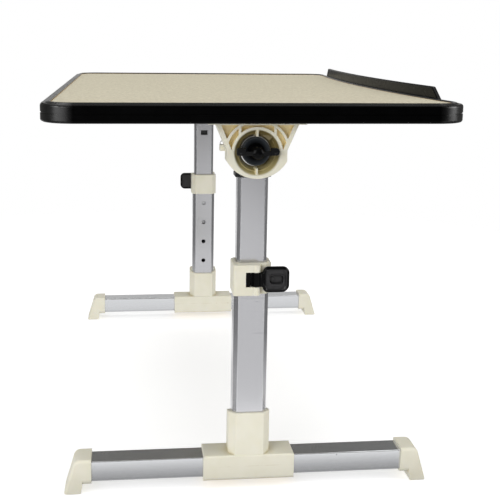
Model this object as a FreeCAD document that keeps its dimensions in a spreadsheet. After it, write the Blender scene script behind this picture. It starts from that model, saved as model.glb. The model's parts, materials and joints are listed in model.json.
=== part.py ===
import FreeCAD, Part
import math
import os
import re

import Sketcher
from FreeCAD import Placement, Rotation, Vector

# A low overbed table: a tilting top on two telescopic legs.
# +X is the user's side, +Y runs along the table, +Z is up, and the table stands on Z = 0.
# Every leg piece is drawn on the post's own axis, outer face towards -Y, and then moved to its leg.

DIMENSIONS = [
    # alias, millimetres or degrees, what it is
    ("run_past", 1, "how far a cutting shape runs past the face it starts from"),
    ("top_length", 600, "along Y"),
    ("top_width", 380, "along X, at the corners"),
    ("top_surface", 373, "height of the laminate's face"),
    ("top_corner", 30, "corner radius in plan"),
    ("front_hollow", 16, "how far the user's edge curves in"),
    ("laminate_thick", 1.1, "decorative sheet"),
    ("board_thick", 13.7, "core board"),
    ("backing_thick", 0.9, "sheet under the board"),
    ("bumper_height", 16.4, "edge moulding"),
    ("bumper_rise", 0.2, "edge moulding above the laminate"),
    ("bumper_wall", 3, "moulding outside the board"),
    ("bumper_band", 8.5, "moulding seen from above"),
    ("bumper_round", 2.4, "outer edges of the moulding"),
    ("groove_depth", 0.9, "groove between the two beads"),
    ("groove_width", 1.4, "groove between the two beads"),
    ("spine_thick", 2.6, "spine in the board's edge"),
    ("lip_height", 12, "book stop above the moulding"),
    ("lip_thick", 4, "book stop"),
    ("lip_inset", 1.2, "book stop from the outer edge"),
    ("lip_length", 470, "book stop at its foot"),
    ("lip_rake", 15, "how much shorter each end is at its top"),
    ("lip_corner", 4, "book stop's upper end corners"),
    ("lip_ease", 1.2, "book stop's long top edges"),
    ("tongue_thick", 1.6, "book stop's tongue"),
    ("tongue_depth", 7, "tongue below the moulding's face"),
    ("tongue_short", 5, "tongue's ends inside the book stop's top corners"),
    ("leg_offset", 256, "post axis from the table's middle"),
    ("bar_width", 22, "foot bar, along Y"),
    ("bar_top", 31.8, "foot bar's top face"),
    ("bar_bottom", 10.6, "foot bar's lower face"),
    ("bar_round", 3.5, "foot bar's lower edges"),
    ("bar_edge", 0.9, "foot bar's upper edges"),
    ("bar_wall", 1.6, "foot bar"),
    ("bar_half", 157, "foot bar's half length"),
    ("cap_inner", 151, "inner face of a foot cap"),
    ("cap_step", 159.5, "where the cap drops to the foot"),
    ("cap_crown", 167, "outer end of the cap at its top"),
    ("cap_outer", 177, "outer end of the cap at its foot"),
    ("cap_top", 34.5, "cap's top face"),
    ("cap_lower", 8.6, "underside of the cap's sleeve"),
    ("cap_width", 27.5, "along Y"),
    ("cap_floor", 0.8, "underside of the foot"),
    ("cap_round", 3, "cap's long edges"),
    ("cap_shoulder", 7, "cap's upper outer edge"),
    ("cap_slant", 1.5, "slope of the foot's inner face"),
    ("cap_play", 0.5, "bar's end from the bottom of its bore"),
    ("pad_length", 12, "rubber insert, along X"),
    ("pad_width", 19, "rubber insert, along Y"),
    ("pad_deep", 3.2, "top of the rubber insert"),
    ("pad_centre", 168.5, "rubber insert, along X"),
    ("pad_round", 2.5, "rubber insert's corners"),
    ("tee_half", 44, "half length of the tee's sleeve"),
    ("tee_depth", 28.5, "sleeve, along Y"),
    ("tee_top", 34.3, "sleeve's top face"),
    ("tee_bottom", 8, "sleeve's underside"),
    ("tee_round", 4, "sleeve's lower edges"),
    ("tee_edge", 1.6, "sleeve's upper edges"),
    ("socket_width", 40, "along X"),
    ("socket_depth", 27, "along Y"),
    ("socket_bevel", 6.5, "socket's corners"),
    ("socket_ease", 1.6, "edges of the bevels"),
    ("socket_rim", 76.7, "socket's rim on the outer side"),
    ("socket_fall", 6.5, "how much lower the rim is on the inner side"),
    ("socket_edge", 1.2, "socket's rim"),
    ("socket_level", 5, "level part of the rim on the outer side"),
    ("socket_floor", 36, "where the outer tube stands"),
    ("outer_width", 32.5, "outer tube, along X"),
    ("outer_depth", 22, "outer tube, along Y"),
    ("outer_bevel", 4, "outer tube's corners"),
    ("tube_ease", 1.3, "edges of both tubes' bevels"),
    ("outer_wall", 1.8, "outer tube"),
    ("outer_top", 218, "outer tube's upper end"),
    ("hole_radius", 3, "height hole"),
    ("hole_first", 91, "lowest height hole"),
    ("hole_pitch", 30, "between height holes"),
    ("hole_count", 4, "height holes"),
    ("inner_width", 28.3, "inner tube, along X"),
    ("inner_depth", 17.8, "inner tube, along Y"),
    ("inner_bevel", 3, "inner tube's corners"),
    ("inner_wall", 1.5, "inner tube"),
    ("inner_bottom", 135, "inner tube's lower end"),
    ("inner_top", 304.5, "inner tube's upper end"),
    ("square_width", 10, "square hole in the inner tube"),
    ("square_height", 7, "square hole in the inner tube"),
    ("square_level", 288, "square hole's middle"),
    ("plug_length", 18, "plug in a tube's end"),
    ("guide_foot", 4, "guide plug below the inner tube"),
    ("guide_stem", 6, "guide plug inside the inner tube"),
    ("collar_width", 36.5, "along X"),
    ("collar_depth", 27, "along Y"),
    ("collar_bevel", 5.5, "collar's corners"),
    ("collar_ease", 1.5, "edges of the collar's bevels"),
    ("collar_bottom", 195, "collar's lower edge"),
    ("collar_top", 224.4, "collar's upper edge"),
    ("collar_edge", 1, "collar's rims"),
    ("collar_gap", 0.3, "collar's lip round the inner tube"),
    ("cheek_left", 18.25, "cheek's outer end"),
    ("cheek_front", 19.4, "cheek's face from the post axis"),
    ("cheek_root", 6, "how far the cheek runs into the collar"),
    ("cheek_edge", 2.4, "cheek's outer upright edge"),
    ("barrel_radius", 3.9, "barrel round the lever's pin, the cheek's other end"),
    ("slot_left", 6.8, "lever slot in the cheek"),
    ("slot_bottom", 203.4, "lever slot"),
    ("slot_top", 217.4, "lever slot"),
    ("lever_gap", 0.5, "lever's play in its slot"),
    ("pin_x", 3.2, "lever pin from the post axis"),
    ("pin_y", 16.5, "lever pin from the post axis"),
    ("pin_radius", 1.5, "lever pin"),
    ("pin_cover", 2, "collar above and below the pin"),
    ("pin_play", 0.06, "lever on its pin"),
    ("cam_radius", 4.5, "lever's cam"),
    ("cam_throw", 0.8, "cam's middle from the pin"),
    ("cam_rib", 0.6, "ribs on the cam"),
    ("paddle_left", 9.3, "paddle's edge beside the cheek"),
    ("paddle_size", 24.5, "rounded square"),
    ("paddle_thick", 4.2, "along Y"),
    ("paddle_front", 20.8, "paddle's face from the post axis"),
    ("paddle_round", 6.2, "paddle's corners"),
    ("paddle_edge", 1.3, "paddle's edges"),
    ("arm_root", 3, "how far the arm runs into the paddle"),
    ("arm_step", 0.6, "arm behind the paddle's face"),
    ("dent_length", 14.4, "thumb dent"),
    ("dent_height", 8.4, "thumb dent"),
    ("dent_depth", 1.4, "thumb dent"),
    ("dent_round", 3.9, "thumb dent's corners"),
    ("dent_shift", 0.6, "thumb dent from the paddle's middle"),
    ("pivot_height", 330, "tilt axis"),
    ("ring_front", 30, "bracket's face from the post axis"),
    ("ring_back", 12, "bracket's rear face from the post axis"),
    ("ring_half", 26.9, "bracket's half width at the axis"),
    ("ring_chin", 31, "radius of the bracket's lower edge"),
    ("chin_rise", 7.6, "centre of that radius above the axis"),
    ("wall_low", 2, "where the bracket's sides start to splay"),
    ("wall_half", 36.8, "bracket's half width under the flange"),
    ("flange_thick", 2.4, "bracket's flange"),
    ("flange_half", 44, "flange, along X"),
    ("flange_rear", 16, "flange behind the post axis"),
    ("pocket_depth", 5.5, "pockets in the bracket's face"),
    ("pocket_gap", 0.4, "pockets' top under the flange"),
    ("pocket_low_half", 22.7, "pockets' half width at their foot"),
    ("pocket_high_half", 32.4, "pockets' half width under the flange"),
    ("rim_radius", 23, "outside of the bracket's rim"),
    ("arch_inner", 27.3, "arched rib"),
    ("arch_outer", 29.7, "arched rib"),
    ("rib_place", 15.8, "upright ribs from the axis"),
    ("rib_foot", 10, "upright ribs' foot above the axis"),
    ("rib_thick", 2.3, "upright ribs"),
    ("mouth_radius", 20.9, "recess at its mouth"),
    ("shelf_radius", 17.6, "recess at its first step"),
    ("shelf_depth", 4.5, "recess's first step"),
    ("well_radius", 16.6, "recess below the step"),
    ("floor_radius", 14.4, "recess at its floor"),
    ("recess_depth", 13, "recess"),
    ("key_width", 1.8, "radial ribs in the recess"),
    ("key_height", 6, "radial ribs in the recess"),
    ("key_place", 17.3, "radial ribs' middle from the axis"),
    ("key_step", 1.2, "radial ribs below the bracket's face"),
    ("ramp_start", 45, "where the locking ramp ends in its tooth"),
    ("ramp_sweep", 34, "locking ramp"),
    ("ramp_slope", 27, "locking ramp"),
    ("ramp_step", 1.5, "locking ramp's tooth below the bracket's face"),
    ("ramp_crest", 2, "where the sloping face meets the axis, below the bracket's face"),
    ("ramp_gap", 0.6, "locking ramp from the recess's floor edge"),
    ("boss_radius", 8, "head's boss in the bracket"),
    ("boss_play", 0.08, "bracket on the boss"),
    ("hub_radius", 15, "leg head's hub"),
    ("head_flange", 4, "leg head on the tube's end"),
    ("head_over", 2.5, "head's flange beyond the tube, along X"),
    ("head_proud", 1.5, "head's flange beyond the tube, along Y"),
    ("head_edge", 0.8, "head's flange"),
    ("neck_width", 25, "leg head's neck"),
    ("neck_root", 2, "neck inside the flange"),
    ("hub_gap", 0.2, "hub and boss from the bracket"),
    ("bolt_radius", 4, "pivot bolt"),
    ("bolt_play", 0.06, "knob on the bolt"),
    ("bolt_past", 3, "bolt's end beyond the bracket's face"),
    ("bolt_room", 0.6, "bolt's end from the bottom of the knob's bore"),
    ("hex_radius", 7.4, "bolt's head, to its corners"),
    ("hex_height", 5.2, "bolt's head"),
    ("washer_radius", 13.6, "washer"),
    ("washer_thick", 0.8, "washer"),
    ("washer_gap", 0.1, "washer from the recess's floor"),
    ("washer_play", 0.3, "washer on the bolt"),
    ("knob_radius", 12.9, "knob's dished disc"),
    ("knob_thick", 4.2, "knob's disc"),
    ("knob_dish", 2, "hollow in the disc's face"),
    ("dish_rim", 1, "rim round the hollow"),
    ("knob_hub", 5.6, "knob's hub"),
    ("wing_half", 19.1, "knob's wing"),
    ("wing_thick", 3.8, "knob's wing"),
    ("wing_depth", 7, "knob's wing, along Y"),
    ("wing_gap", 0.5, "wing from the bracket's face"),
    ("wing_end", 6.8, "height of the wing's end blocks"),
    ("wing_block", 5.2, "wing's end blocks, along X"),
    ("pip_radius", 1.1, "pips on the end blocks"),
    ("pip_inset", 3.2, "pips from the wing's ends"),
    ("pip_drop", 0.8, "pips below the axis"),
    ("tab_near", 26.4, "plunger's tab from the axis"),
    ("tab_far", 31.2, "plunger's tab from the axis"),
    ("tab_size", 5.4, "plunger's tab, height"),
    ("tab_width", 7, "plunger's tab, along Y"),
    ("loop_radius", 2.2, "pull ring, to the middle of its wire"),
    ("loop_wire", 0.4, "pull ring's wire radius"),
    ("loop_play", 0.15, "pull ring in the tab"),
    ("loop_rise", 1.2, "pull ring's centre above the tab"),
    ("plunger_radius", 2, "plunger's stem"),
    ("plunger_gap", 0.4, "plunger in the head"),
    ("plunger_line", 8, "plunger from the post axis, along Y"),
    ("plunger_rise", 2, "plunger above the tilt axis"),
    ("plunger_tip", 10, "stem's inner end from the axis"),
    ("spring_wire", 0.35, "plunger spring's wire radius"),
    ("spring_gap", 0.7, "plunger spring from the stem, to its wire's middle, and from the hub"),
    ("spring_turns", 5, "plunger spring"),
    ("button_radius", 2.6, "snap button"),
    ("button_gap", 0.35, "snap button in the inner tube"),
    ("button_rim", 1.3, "snap button's flange beyond its stem"),
    ("button_flange", 0.8, "snap button's flange, along Y"),
    ("button_root", 1, "snap button's stem inside the tube's wall"),
    ("button_step", 0.7, "foot of the button's dome below the tube's face"),
    ("dome_rise", 0.2, "button's dome above the inner tube's face"),
    ("dome_radius", 4.2, "button's dome"),
    ("button_level", 151, "snap button at rest"),
    ("leaf_thick", 0.6, "snap spring"),
    ("leaf_width", 6, "snap spring"),
    ("leaf_front", 1.6, "snap spring's front leaf from the post axis"),
    ("leaf_gap", 0.3, "snap spring's rear leaf from the tube's wall"),
    ("leaf_above", 13, "snap spring above the button's middle"),
    ("leaf_below", 9, "snap spring below the button's middle"),
    ("foot_bolt_radius", 3, "foot bolt"),
    ("foot_bolt_length", 42.4, "foot bolt"),
    ("foot_head_radius", 5.5, "foot bolt's head"),
    ("foot_head_height", 1.8, "foot bolt's head"),
    ("drive_radius", 1.8, "socket in the foot bolt's head"),
    ("drive_depth", 2, "socket in the foot bolt's head"),
    ("brake_width", 11, "brake pad, along X"),
    ("brake_thick", 1.6, "brake pad, along Y"),
    ("brake_play", 0.2, "brake pad in its window"),
    ("brake_gap", 0.1, "brake pad below the outer tube's face"),
    ("window_inset", 0.5, "brake window inside the lever slot's height"),
    ("screw_radius", 1.8, "bracket screws"),
    ("screw_length", 13, "bracket screws"),
    ("screw_spread", 36, "bracket screws, along X"),
    ("screw_front", 5, "front screws from the post axis"),
    ("screw_rear", 9, "rear screws from the post axis"),
    ("screw_head", 3.6, "bracket screws' head radius"),
    ("screw_rise", 1.8, "bracket screws' heads"),
    ("screw_slot", 0.8, "width and depth of the screws' slots"),
]

doc = FreeCAD.newDocument("overbed_table")
sheet = doc.addObject("Spreadsheet::Sheet", "dims")
for row, (alias, size, meaning) in enumerate(DIMENSIONS, start=1):
    sheet.set(f"A{row}", alias)
    sheet.set(f"B{row}", str(size))
    sheet.setAlias(f"B{row}", alias)
    sheet.set(f"C{row}", meaning)
doc.recompute()

ALIASES = {alias: float(size) for alias, size, meaning in DIMENSIONS}
WORD = re.compile(r"[a-z_]+")
NODES = {}
LEGS = {"left": (-1, 0), "right": (1, 180)}   # side of the table, half turn about Z
TINY = 0.01


def linked(expression):
    """The expression with every alias pointing at the spreadsheet."""
    return WORD.sub(lambda word: f"dims.{word[0]}" if word[0] in ALIASES else word[0], str(expression))


def value(expression):
    """The expression's number, for a sketch's first guess and for plain shapes."""
    return sheet.evalExpression(linked(expression).replace("dims.", ""))


def bind(item, prop, expression):
    item.setExpression(prop, linked(expression))


def place(item, x=0, y=0, z=0):
    for axis, expression in zip("xyz", (x, y, z)):
        bind(item, f"Placement.Base.{axis}", expression)
    return item


def keep(node, item, side=None):
    """Name the finished sub-part, and stand a leg's piece on its leg."""
    item.Label = node
    if side is not None:
        direction, turn = LEGS[side]
        item.Placement = Placement(Vector(), Rotation(Vector(0, 0, 1), turn))
        bind(item, "Placement.Base.y", f"{direction} * leg_offset")
    NODES[node] = item
    return item


# ---- solids -----------------------------------------------------------------------------------

def box(name, size, corner):
    """A box from its three sizes and its lowest corner."""
    solid = doc.addObject("Part::Box", name)
    for prop, expression in zip(("Length", "Width", "Height"), size):
        bind(solid, prop, expression)
    return place(solid, *corner)


def along(direction):
    """The turn that takes +Z to a direction."""
    return Rotation(Vector(0, 0, 1), Vector(*direction))


def cylinder(name, radius, length, start, direction=(0, 0, 1)):
    solid = doc.addObject("Part::Cylinder", name)
    bind(solid, "Radius", radius)
    bind(solid, "Height", length)
    solid.Placement = Placement(Vector(), along(direction))
    return place(solid, *start)


def cone(name, first, second, length, start, direction):
    solid = doc.addObject("Part::Cone", name)
    bind(solid, "Radius1", first)
    bind(solid, "Radius2", second)
    bind(solid, "Height", length)
    solid.Placement = Placement(Vector(), along(direction))
    return place(solid, *start)


def sphere(name, radius, centre):
    solid = doc.addObject("Part::Sphere", name)
    bind(solid, "Radius", radius)
    return place(solid, *centre)


def fuse(name, *shapes):
    solid = doc.addObject("Part::MultiFuse", name)
    solid.Shapes = list(shapes)
    solid.Refine = True
    return solid


def common(name, *shapes):
    solid = doc.addObject("Part::MultiCommon", name)
    solid.Shapes = list(shapes)
    return solid


def cut(name, base, *tools):
    solid = doc.addObject("Part::Cut", name)
    solid.Base = base
    solid.Tool = tools[0] if len(tools) == 1 else fuse(f"{name}_tools", *tools)
    solid.Refine = True
    return solid


def group(name, solids):
    """Separate solids in one node."""
    item = doc.addObject("Part::Compound", name)
    item.Links = solids
    return item


# ---- sketches ---------------------------------------------------------------------------------

def new_body(name):
    body = doc.addObject("PartDesign::Body", name)
    doc.recompute([body])
    return body


def sketch_on(body, name, role, offset=0):
    sketch = body.newObject("Sketcher::SketchObject", name)
    origin_plane = [item for item in body.Origin.OriginFeatures if item.Role == role][0]
    sketch.AttachmentSupport = [(origin_plane, "")]
    sketch.MapMode = "FlatFace"
    bind(sketch, "AttachmentOffset.Base.z", offset)
    return sketch


def rule(sketch, kind, *what):
    """Add a constraint; one that ends in an expression is bound to it."""
    if isinstance(what[-1], str):
        index = sketch.addConstraint(Sketcher.Constraint(kind, *what[:-1], float(value(what[-1]))))
        bind(sketch, f"Constraints[{index}]", what[-1])
    else:
        sketch.addConstraint(Sketcher.Constraint(kind, *what))


def closed_lines(sketch, corners):
    """Straight edges through the corners, joined end to end; the first edge's number is returned."""
    first = sketch.GeometryCount
    points = [Vector(x, y, 0) for x, y in corners]
    for start, end in zip(points, points[1:] + points[:1]):
        sketch.addGeometry(Part.LineSegment(start, end))
    count = len(corners)
    for step in range(count):
        rule(sketch, "Coincident", first + step, 2, first + (step + 1) % count, 1)
    return first


def bevelled_rectangle(sketch, width, depth, bevel):
    """A rectangle about the sketch's origin with its four corners cut at 45 degrees."""
    right = value(width) / 2
    back = value(depth) / 2
    corner = value(bevel)
    low, left_low = right - corner, back - corner
    first = closed_lines(sketch, [(-low, -back), (low, -back), (right, -left_low), (right, left_low),
                                  (low, back), (-low, back), (-right, left_low), (-right, -left_low)])
    front, side, rear, other = first, first + 2, first + 4, first + 6
    rule(sketch, "Symmetric", front, 1, front, 2, -2)
    rule(sketch, "Symmetric", rear, 1, rear, 2, -2)
    rule(sketch, "Symmetric", side, 1, side, 2, -1)
    rule(sketch, "Symmetric", other, 1, other, 2, -1)
    rule(sketch, "Symmetric", front, 1, rear, 2, -1)
    rule(sketch, "Symmetric", side, 1, other, 2, -2)
    rule(sketch, "DistanceX", front, 1, front, 2, f"{width} - 2 * ({bevel})")
    rule(sketch, "DistanceY", side, 1, side, 2, f"{depth} - 2 * ({bevel})")
    rule(sketch, "DistanceX", other, 1, side, 1, f"{width}")
    rule(sketch, "DistanceY", front, 1, rear, 1, f"{depth}")


def rectangle(sketch, left, right, bottom, top):
    """A rectangle between two places across and two places up, each measured from the origin."""
    x0, x1, y0, y1 = value(left), value(right), value(bottom), value(top)
    first = closed_lines(sketch, [(x0, y0), (x1, y0), (x1, y1), (x0, y1)])
    for step, kind in enumerate(("Horizontal", "Vertical", "Horizontal", "Vertical")):
        rule(sketch, kind, first + step)
    rule(sketch, "DistanceX", -1, 1, first, 1, f"{left}")
    rule(sketch, "DistanceX", -1, 1, first, 2, f"{right}")
    rule(sketch, "DistanceY", -1, 1, first, 1, f"{bottom}")
    rule(sketch, "DistanceY", -1, 1, first + 2, 1, f"{top}")


def circle(sketch, radius, x=0, y=0):
    index = sketch.addGeometry(Part.Circle(Vector(value(x), value(y), 0), Vector(0, 0, 1), value(radius)))
    rule(sketch, "Radius", index, f"{radius}")
    rule(sketch, "DistanceX", -1, 1, index, 3, f"{x}")
    rule(sketch, "DistanceY", -1, 1, index, 3, f"{y}")


def arc(centre, radius, start, end):
    """An arc from one angle to another, in degrees."""
    whole = Part.Circle(Vector(*centre, 0), Vector(0, 0, 1), radius)
    return Part.ArcOfCircle(whole, math.radians(start), math.radians(end))


def rounded_rectangle(sketch, width, height, radius, x, y):
    """A rectangle with round corners about a centre."""
    across, up, corner = value(width) / 2, value(height) / 2, value(radius)
    cx, cy = value(x), value(y)
    first = sketch.GeometryCount
    turns = [(1, -1, 270), (1, 1, 0), (-1, 1, 90), (-1, -1, 180)]
    for side_x, side_y, angle in turns:
        centre = (cx + side_x * (across - corner), cy + side_y * (up - corner))
        sketch.addGeometry(arc(centre, corner, angle, angle + 90))
    for step in range(4):
        here = sketch.Geometry[first + step].EndPoint
        there = sketch.Geometry[first + (step + 1) % 4].StartPoint
        line = sketch.addGeometry(Part.LineSegment(here, there))
        rule(sketch, "Tangent", first + step, 2, line, 1)
        rule(sketch, "Tangent", line, 2, first + (step + 1) % 4, 1)
    for step in (1, 2, 3):
        rule(sketch, "Equal", first, first + step)
    rule(sketch, "Vertical", first + 4)
    rule(sketch, "Horizontal", first + 5)
    rule(sketch, "Vertical", first + 6)
    rule(sketch, "Radius", first, f"{radius}")
    rule(sketch, "DistanceX", -1, 1, first + 4, 1, f"{x} + ({width}) / 2")
    rule(sketch, "DistanceX", -1, 1, first + 6, 1, f"{x} - ({width}) / 2")
    rule(sketch, "DistanceY", -1, 1, first + 5, 1, f"{y} + ({height}) / 2")
    rule(sketch, "DistanceY", -1, 1, first + 7, 1, f"{y} - ({height}) / 2")


def flat_topped(sketch, width, top, bottom, radius):
    """A section with a flat top, upright sides and round lower edges, in the YZ plane."""
    half, high, low, corner = value(width) / 2, value(top), value(bottom), value(radius)
    first = sketch.GeometryCount
    sketch.addGeometry(Part.LineSegment(Vector(-half, high, 0), Vector(half, high, 0)))
    sketch.addGeometry(Part.LineSegment(Vector(half, high, 0), Vector(half, low + corner, 0)))
    sketch.addGeometry(arc((half - corner, low + corner), corner, 270, 360))
    sketch.addGeometry(Part.LineSegment(Vector(half - corner, low, 0), Vector(corner - half, low, 0)))
    sketch.addGeometry(arc((corner - half, low + corner), corner, 180, 270))
    sketch.addGeometry(Part.LineSegment(Vector(-half, low + corner, 0), Vector(-half, high, 0)))
    roof, right, right_arc, floor, left_arc, left = range(first, first + 6)
    rule(sketch, "Coincident", roof, 2, right, 1)
    rule(sketch, "Coincident", left, 2, roof, 1)
    rule(sketch, "Tangent", right, 2, right_arc, 2)
    rule(sketch, "Tangent", right_arc, 1, floor, 1)
    rule(sketch, "Tangent", floor, 2, left_arc, 2)
    rule(sketch, "Tangent", left_arc, 1, left, 1)
    rule(sketch, "Symmetric", roof, 1, roof, 2, -2)
    rule(sketch, "Vertical", right)
    rule(sketch, "Vertical", left)
    rule(sketch, "Horizontal", floor)
    rule(sketch, "Equal", right_arc, left_arc)
    rule(sketch, "Radius", right_arc, f"{radius}")
    rule(sketch, "DistanceX", roof, 1, roof, 2, f"{width}")
    rule(sketch, "DistanceY", -1, 1, roof, 1, f"{top}")
    rule(sketch, "DistanceY", -1, 1, floor, 1, f"{bottom}")


# ---- body features ----------------------------------------------------------------------------

def pad(body, sketch, length, both_ways=False, reverse=False):
    feature = body.newObject("PartDesign::Pad", f"{sketch.Name}_pad")
    feature.Profile = sketch
    feature.SideType = "Symmetric" if both_ways else "One side"
    feature.Reversed = reverse
    bind(feature, "Length", length)
    return feature


def pocket(body, sketch, length, both_ways=False, reverse=False):
    """A pocket; it must take something away."""
    doc.recompute()
    before = body.Shape.Volume
    feature = body.newObject("PartDesign::Pocket", f"{sketch.Name}_cut")
    feature.Profile = sketch
    feature.SideType = "Symmetric" if both_ways else "One side"
    feature.Reversed = reverse
    bind(feature, "Length", length)
    doc.recompute()
    if before - body.Shape.Volume < TINY:
        raise ValueError(f"{feature.Name} cuts nothing")
    return feature


def edge_names(body, wanted):
    """Names of the edges of a body that a test picks."""
    return [f"Edge{number}" for number, edge in enumerate(body.Shape.Edges, start=1) if wanted(edge)]


def dress(body, kind, wanted, size):
    """Round or bevel the edges that a test picks."""
    doc.recompute()
    names = edge_names(body, wanted)
    if not names:
        raise ValueError(f"{body.Name} has no edge to dress")
    base = body.Tip
    feature = body.newObject(f"PartDesign::{kind}", f"{base.Name}_{kind.lower()}")
    feature.Base = (base, names)
    bind(feature, "Radius" if kind == "Fillet" else "Size", size)
    return feature


def lies_along(edge, axis):
    """True for a straight edge parallel to an axis."""
    if edge.Curve.TypeId != "Part::GeomLine":
        return False
    return abs(abs(edge.Curve.Direction.dot(Vector(*axis))) - 1) < 1e-6


def at_level(edge, axis, level):
    """True for an edge that stays at one coordinate."""
    number = "xyz".index(axis)
    return all(abs(vertex.Point[number] - level) < 1e-4 for vertex in edge.Vertexes)


# ---- the top ----------------------------------------------------------------------------------

def hollow_arc(inset):
    """Radius and centre of the user's edge, and the corner's centre, for an outline set in by inset."""
    half_length, half_width = value("top_length") / 2, value("top_width") / 2
    corner, hollow = value("top_corner"), value("front_hollow")
    reach = half_length - corner
    joined = (hollow * hollow + reach * reach) / (2 * hollow)
    centre = half_width - corner + math.sqrt(joined * joined - reach * reach)
    return joined - corner + inset, centre, (half_width - corner, reach)


def top_outline(sketch, inset):
    """The top's outline in plan, set in evenly: three straight edges, round corners, a hollow edge."""
    inset_now = value(inset)
    radius, centre, (corner_x, corner_y) = hollow_arc(inset_now)
    corner = value("top_corner") - inset_now
    lean = math.degrees(math.atan2(corner_y, centre - corner_x))
    half_length = corner_y + corner
    first = sketch.GeometryCount
    sketch.addGeometry(Part.LineSegment(Vector(-corner_x, -half_length, 0), Vector(corner_x, -half_length, 0)))
    sketch.addGeometry(arc((corner_x, -corner_y), corner, 270, 360 + lean))
    sketch.addGeometry(arc((centre, 0), radius, 180 - lean, 180 + lean))
    sketch.addGeometry(arc((corner_x, corner_y), corner, -lean, 90))
    sketch.addGeometry(Part.LineSegment(Vector(corner_x, half_length, 0), Vector(-corner_x, half_length, 0)))
    sketch.addGeometry(arc((-corner_x, corner_y), corner, 90, 180))
    sketch.addGeometry(Part.LineSegment(Vector(-half_width(inset), corner_y, 0),
                                        Vector(-half_width(inset), -corner_y, 0)))
    sketch.addGeometry(arc((-corner_x, -corner_y), corner, 180, 270))
    near, near_user, user, far_user, far, far_rear, rear, near_rear = range(first, first + 8)
    rule(sketch, "Tangent", near, 2, near_user, 1)
    rule(sketch, "Tangent", near_user, 2, user, 2)
    rule(sketch, "Tangent", user, 1, far_user, 1)
    rule(sketch, "Tangent", far_user, 2, far, 1)
    rule(sketch, "Tangent", far, 2, far_rear, 1)
    rule(sketch, "Tangent", far_rear, 2, rear, 1)
    rule(sketch, "Tangent", rear, 2, near_rear, 1)
    rule(sketch, "Tangent", near_rear, 2, near, 1)
    rule(sketch, "Horizontal", near)
    rule(sketch, "Horizontal", far)
    for other in (far_user, far_rear, near_rear):
        rule(sketch, "Equal", near_user, other)
    rule(sketch, "PointOnObject", user, 3, -1)
    rule(sketch, "Radius", near_user, f"top_corner - ({inset})")
    rule(sketch, "DistanceY", -1, 1, near, 1, f"-(top_length / 2 - ({inset}))")
    rule(sketch, "DistanceY", -1, 1, far, 1, f"top_length / 2 - ({inset})")
    rule(sketch, "DistanceX", -1, 1, rear, 1, f"-(top_width / 2 - ({inset}))")
    rule(sketch, "DistanceX", -1, 1, near_user, 3, "top_width / 2 - top_corner")
    rule(sketch, "Radius", user, radius_formula(inset))


def half_width(inset):
    return value(f"top_width / 2 - ({inset})")


def radius_formula(inset):
    """Radius of the hollow edge that meets both corner arcs smoothly."""
    reach = "(top_length / 2 - top_corner)"
    return f"(front_hollow ^ 2 + {reach} ^ 2) / (2 * front_hollow) - top_corner + ({inset})"


def lip_strip(sketch, outer_inset, inner_inset, half_length):
    """A strip that follows the hollow edge, between two insets."""
    length = value(half_length)
    arcs = []
    for inset in (outer_inset, inner_inset):
        radius, centre, corner = hollow_arc(value(inset))
        lean = math.degrees(math.asin(length / radius))
        arcs.append(sketch.addGeometry(arc((centre, 0), radius, 180 - lean, 180 + lean)))
    outer, inner = arcs
    far_end = sketch.addGeometry(Part.LineSegment(sketch.Geometry[outer].StartPoint,
                                                  sketch.Geometry[inner].StartPoint))
    near_end = sketch.addGeometry(Part.LineSegment(sketch.Geometry[inner].EndPoint,
                                                   sketch.Geometry[outer].EndPoint))
    rule(sketch, "Coincident", outer, 1, far_end, 1)
    rule(sketch, "Coincident", far_end, 2, inner, 1)
    rule(sketch, "Coincident", inner, 2, near_end, 1)
    rule(sketch, "Coincident", near_end, 2, outer, 2)
    rule(sketch, "Coincident", outer, 3, inner, 3)
    rule(sketch, "PointOnObject", outer, 3, -1)
    rule(sketch, "Horizontal", far_end)
    rule(sketch, "Horizontal", near_end)
    rule(sketch, "Radius", outer, radius_formula(outer_inset))
    rule(sketch, "Radius", inner, radius_formula(inner_inset))
    rule(sketch, "DistanceX", -1, 1, outer, 3,
         f"top_width / 2 - front_hollow + {radius_formula('0')}")
    rule(sketch, "DistanceY", -1, 1, outer, 1, f"{half_length}")
    rule(sketch, "DistanceY", -1, 1, outer, 2, f"-({half_length})")


BOARD_TOP = "(top_surface - laminate_thick)"
BOARD_BOTTOM = "(top_surface - laminate_thick - board_thick)"
BUMPER_TOP = "(top_surface + bumper_rise)"
BUMPER_BOTTOM = "(top_surface + bumper_rise - bumper_height)"
BUMPER_MIDDLE = "(top_surface + bumper_rise - bumper_height / 2)"
UNDERSIDE = "(top_surface - laminate_thick - board_thick - backing_thick)"
TONGUE_OUTER = "(lip_inset + lip_thick / 2 - tongue_thick / 2)"
TONGUE_INNER = "(lip_inset + lip_thick / 2 + tongue_thick / 2)"
TONGUE_HALF = "(lip_length / 2 - lip_rake - tongue_short)"


def layer(node, inset, bottom, thickness):
    """A flat layer of the top with the top's outline."""
    body = new_body(f"{node}_body")
    outline = sketch_on(body, f"{node}_outline", "XY_Plane", bottom)
    top_outline(outline, inset)
    pad(body, outline, thickness)
    return body


def edge_ring(body, name, level, outer_inset, inner_inset):
    """A sketch of the band between two insets of the outline."""
    ring = sketch_on(body, name, "XY_Plane", level)
    top_outline(ring, outer_inset)
    top_outline(ring, inner_inset)
    return ring


def tongue_slot(body, node):
    """The slot for the lip's tongue."""
    slot = sketch_on(body, f"{node}_slot", "XY_Plane", BUMPER_TOP)
    lip_strip(slot, TONGUE_OUTER, TONGUE_INNER, TONGUE_HALF)
    pocket(body, slot, "tongue_depth")


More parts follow.
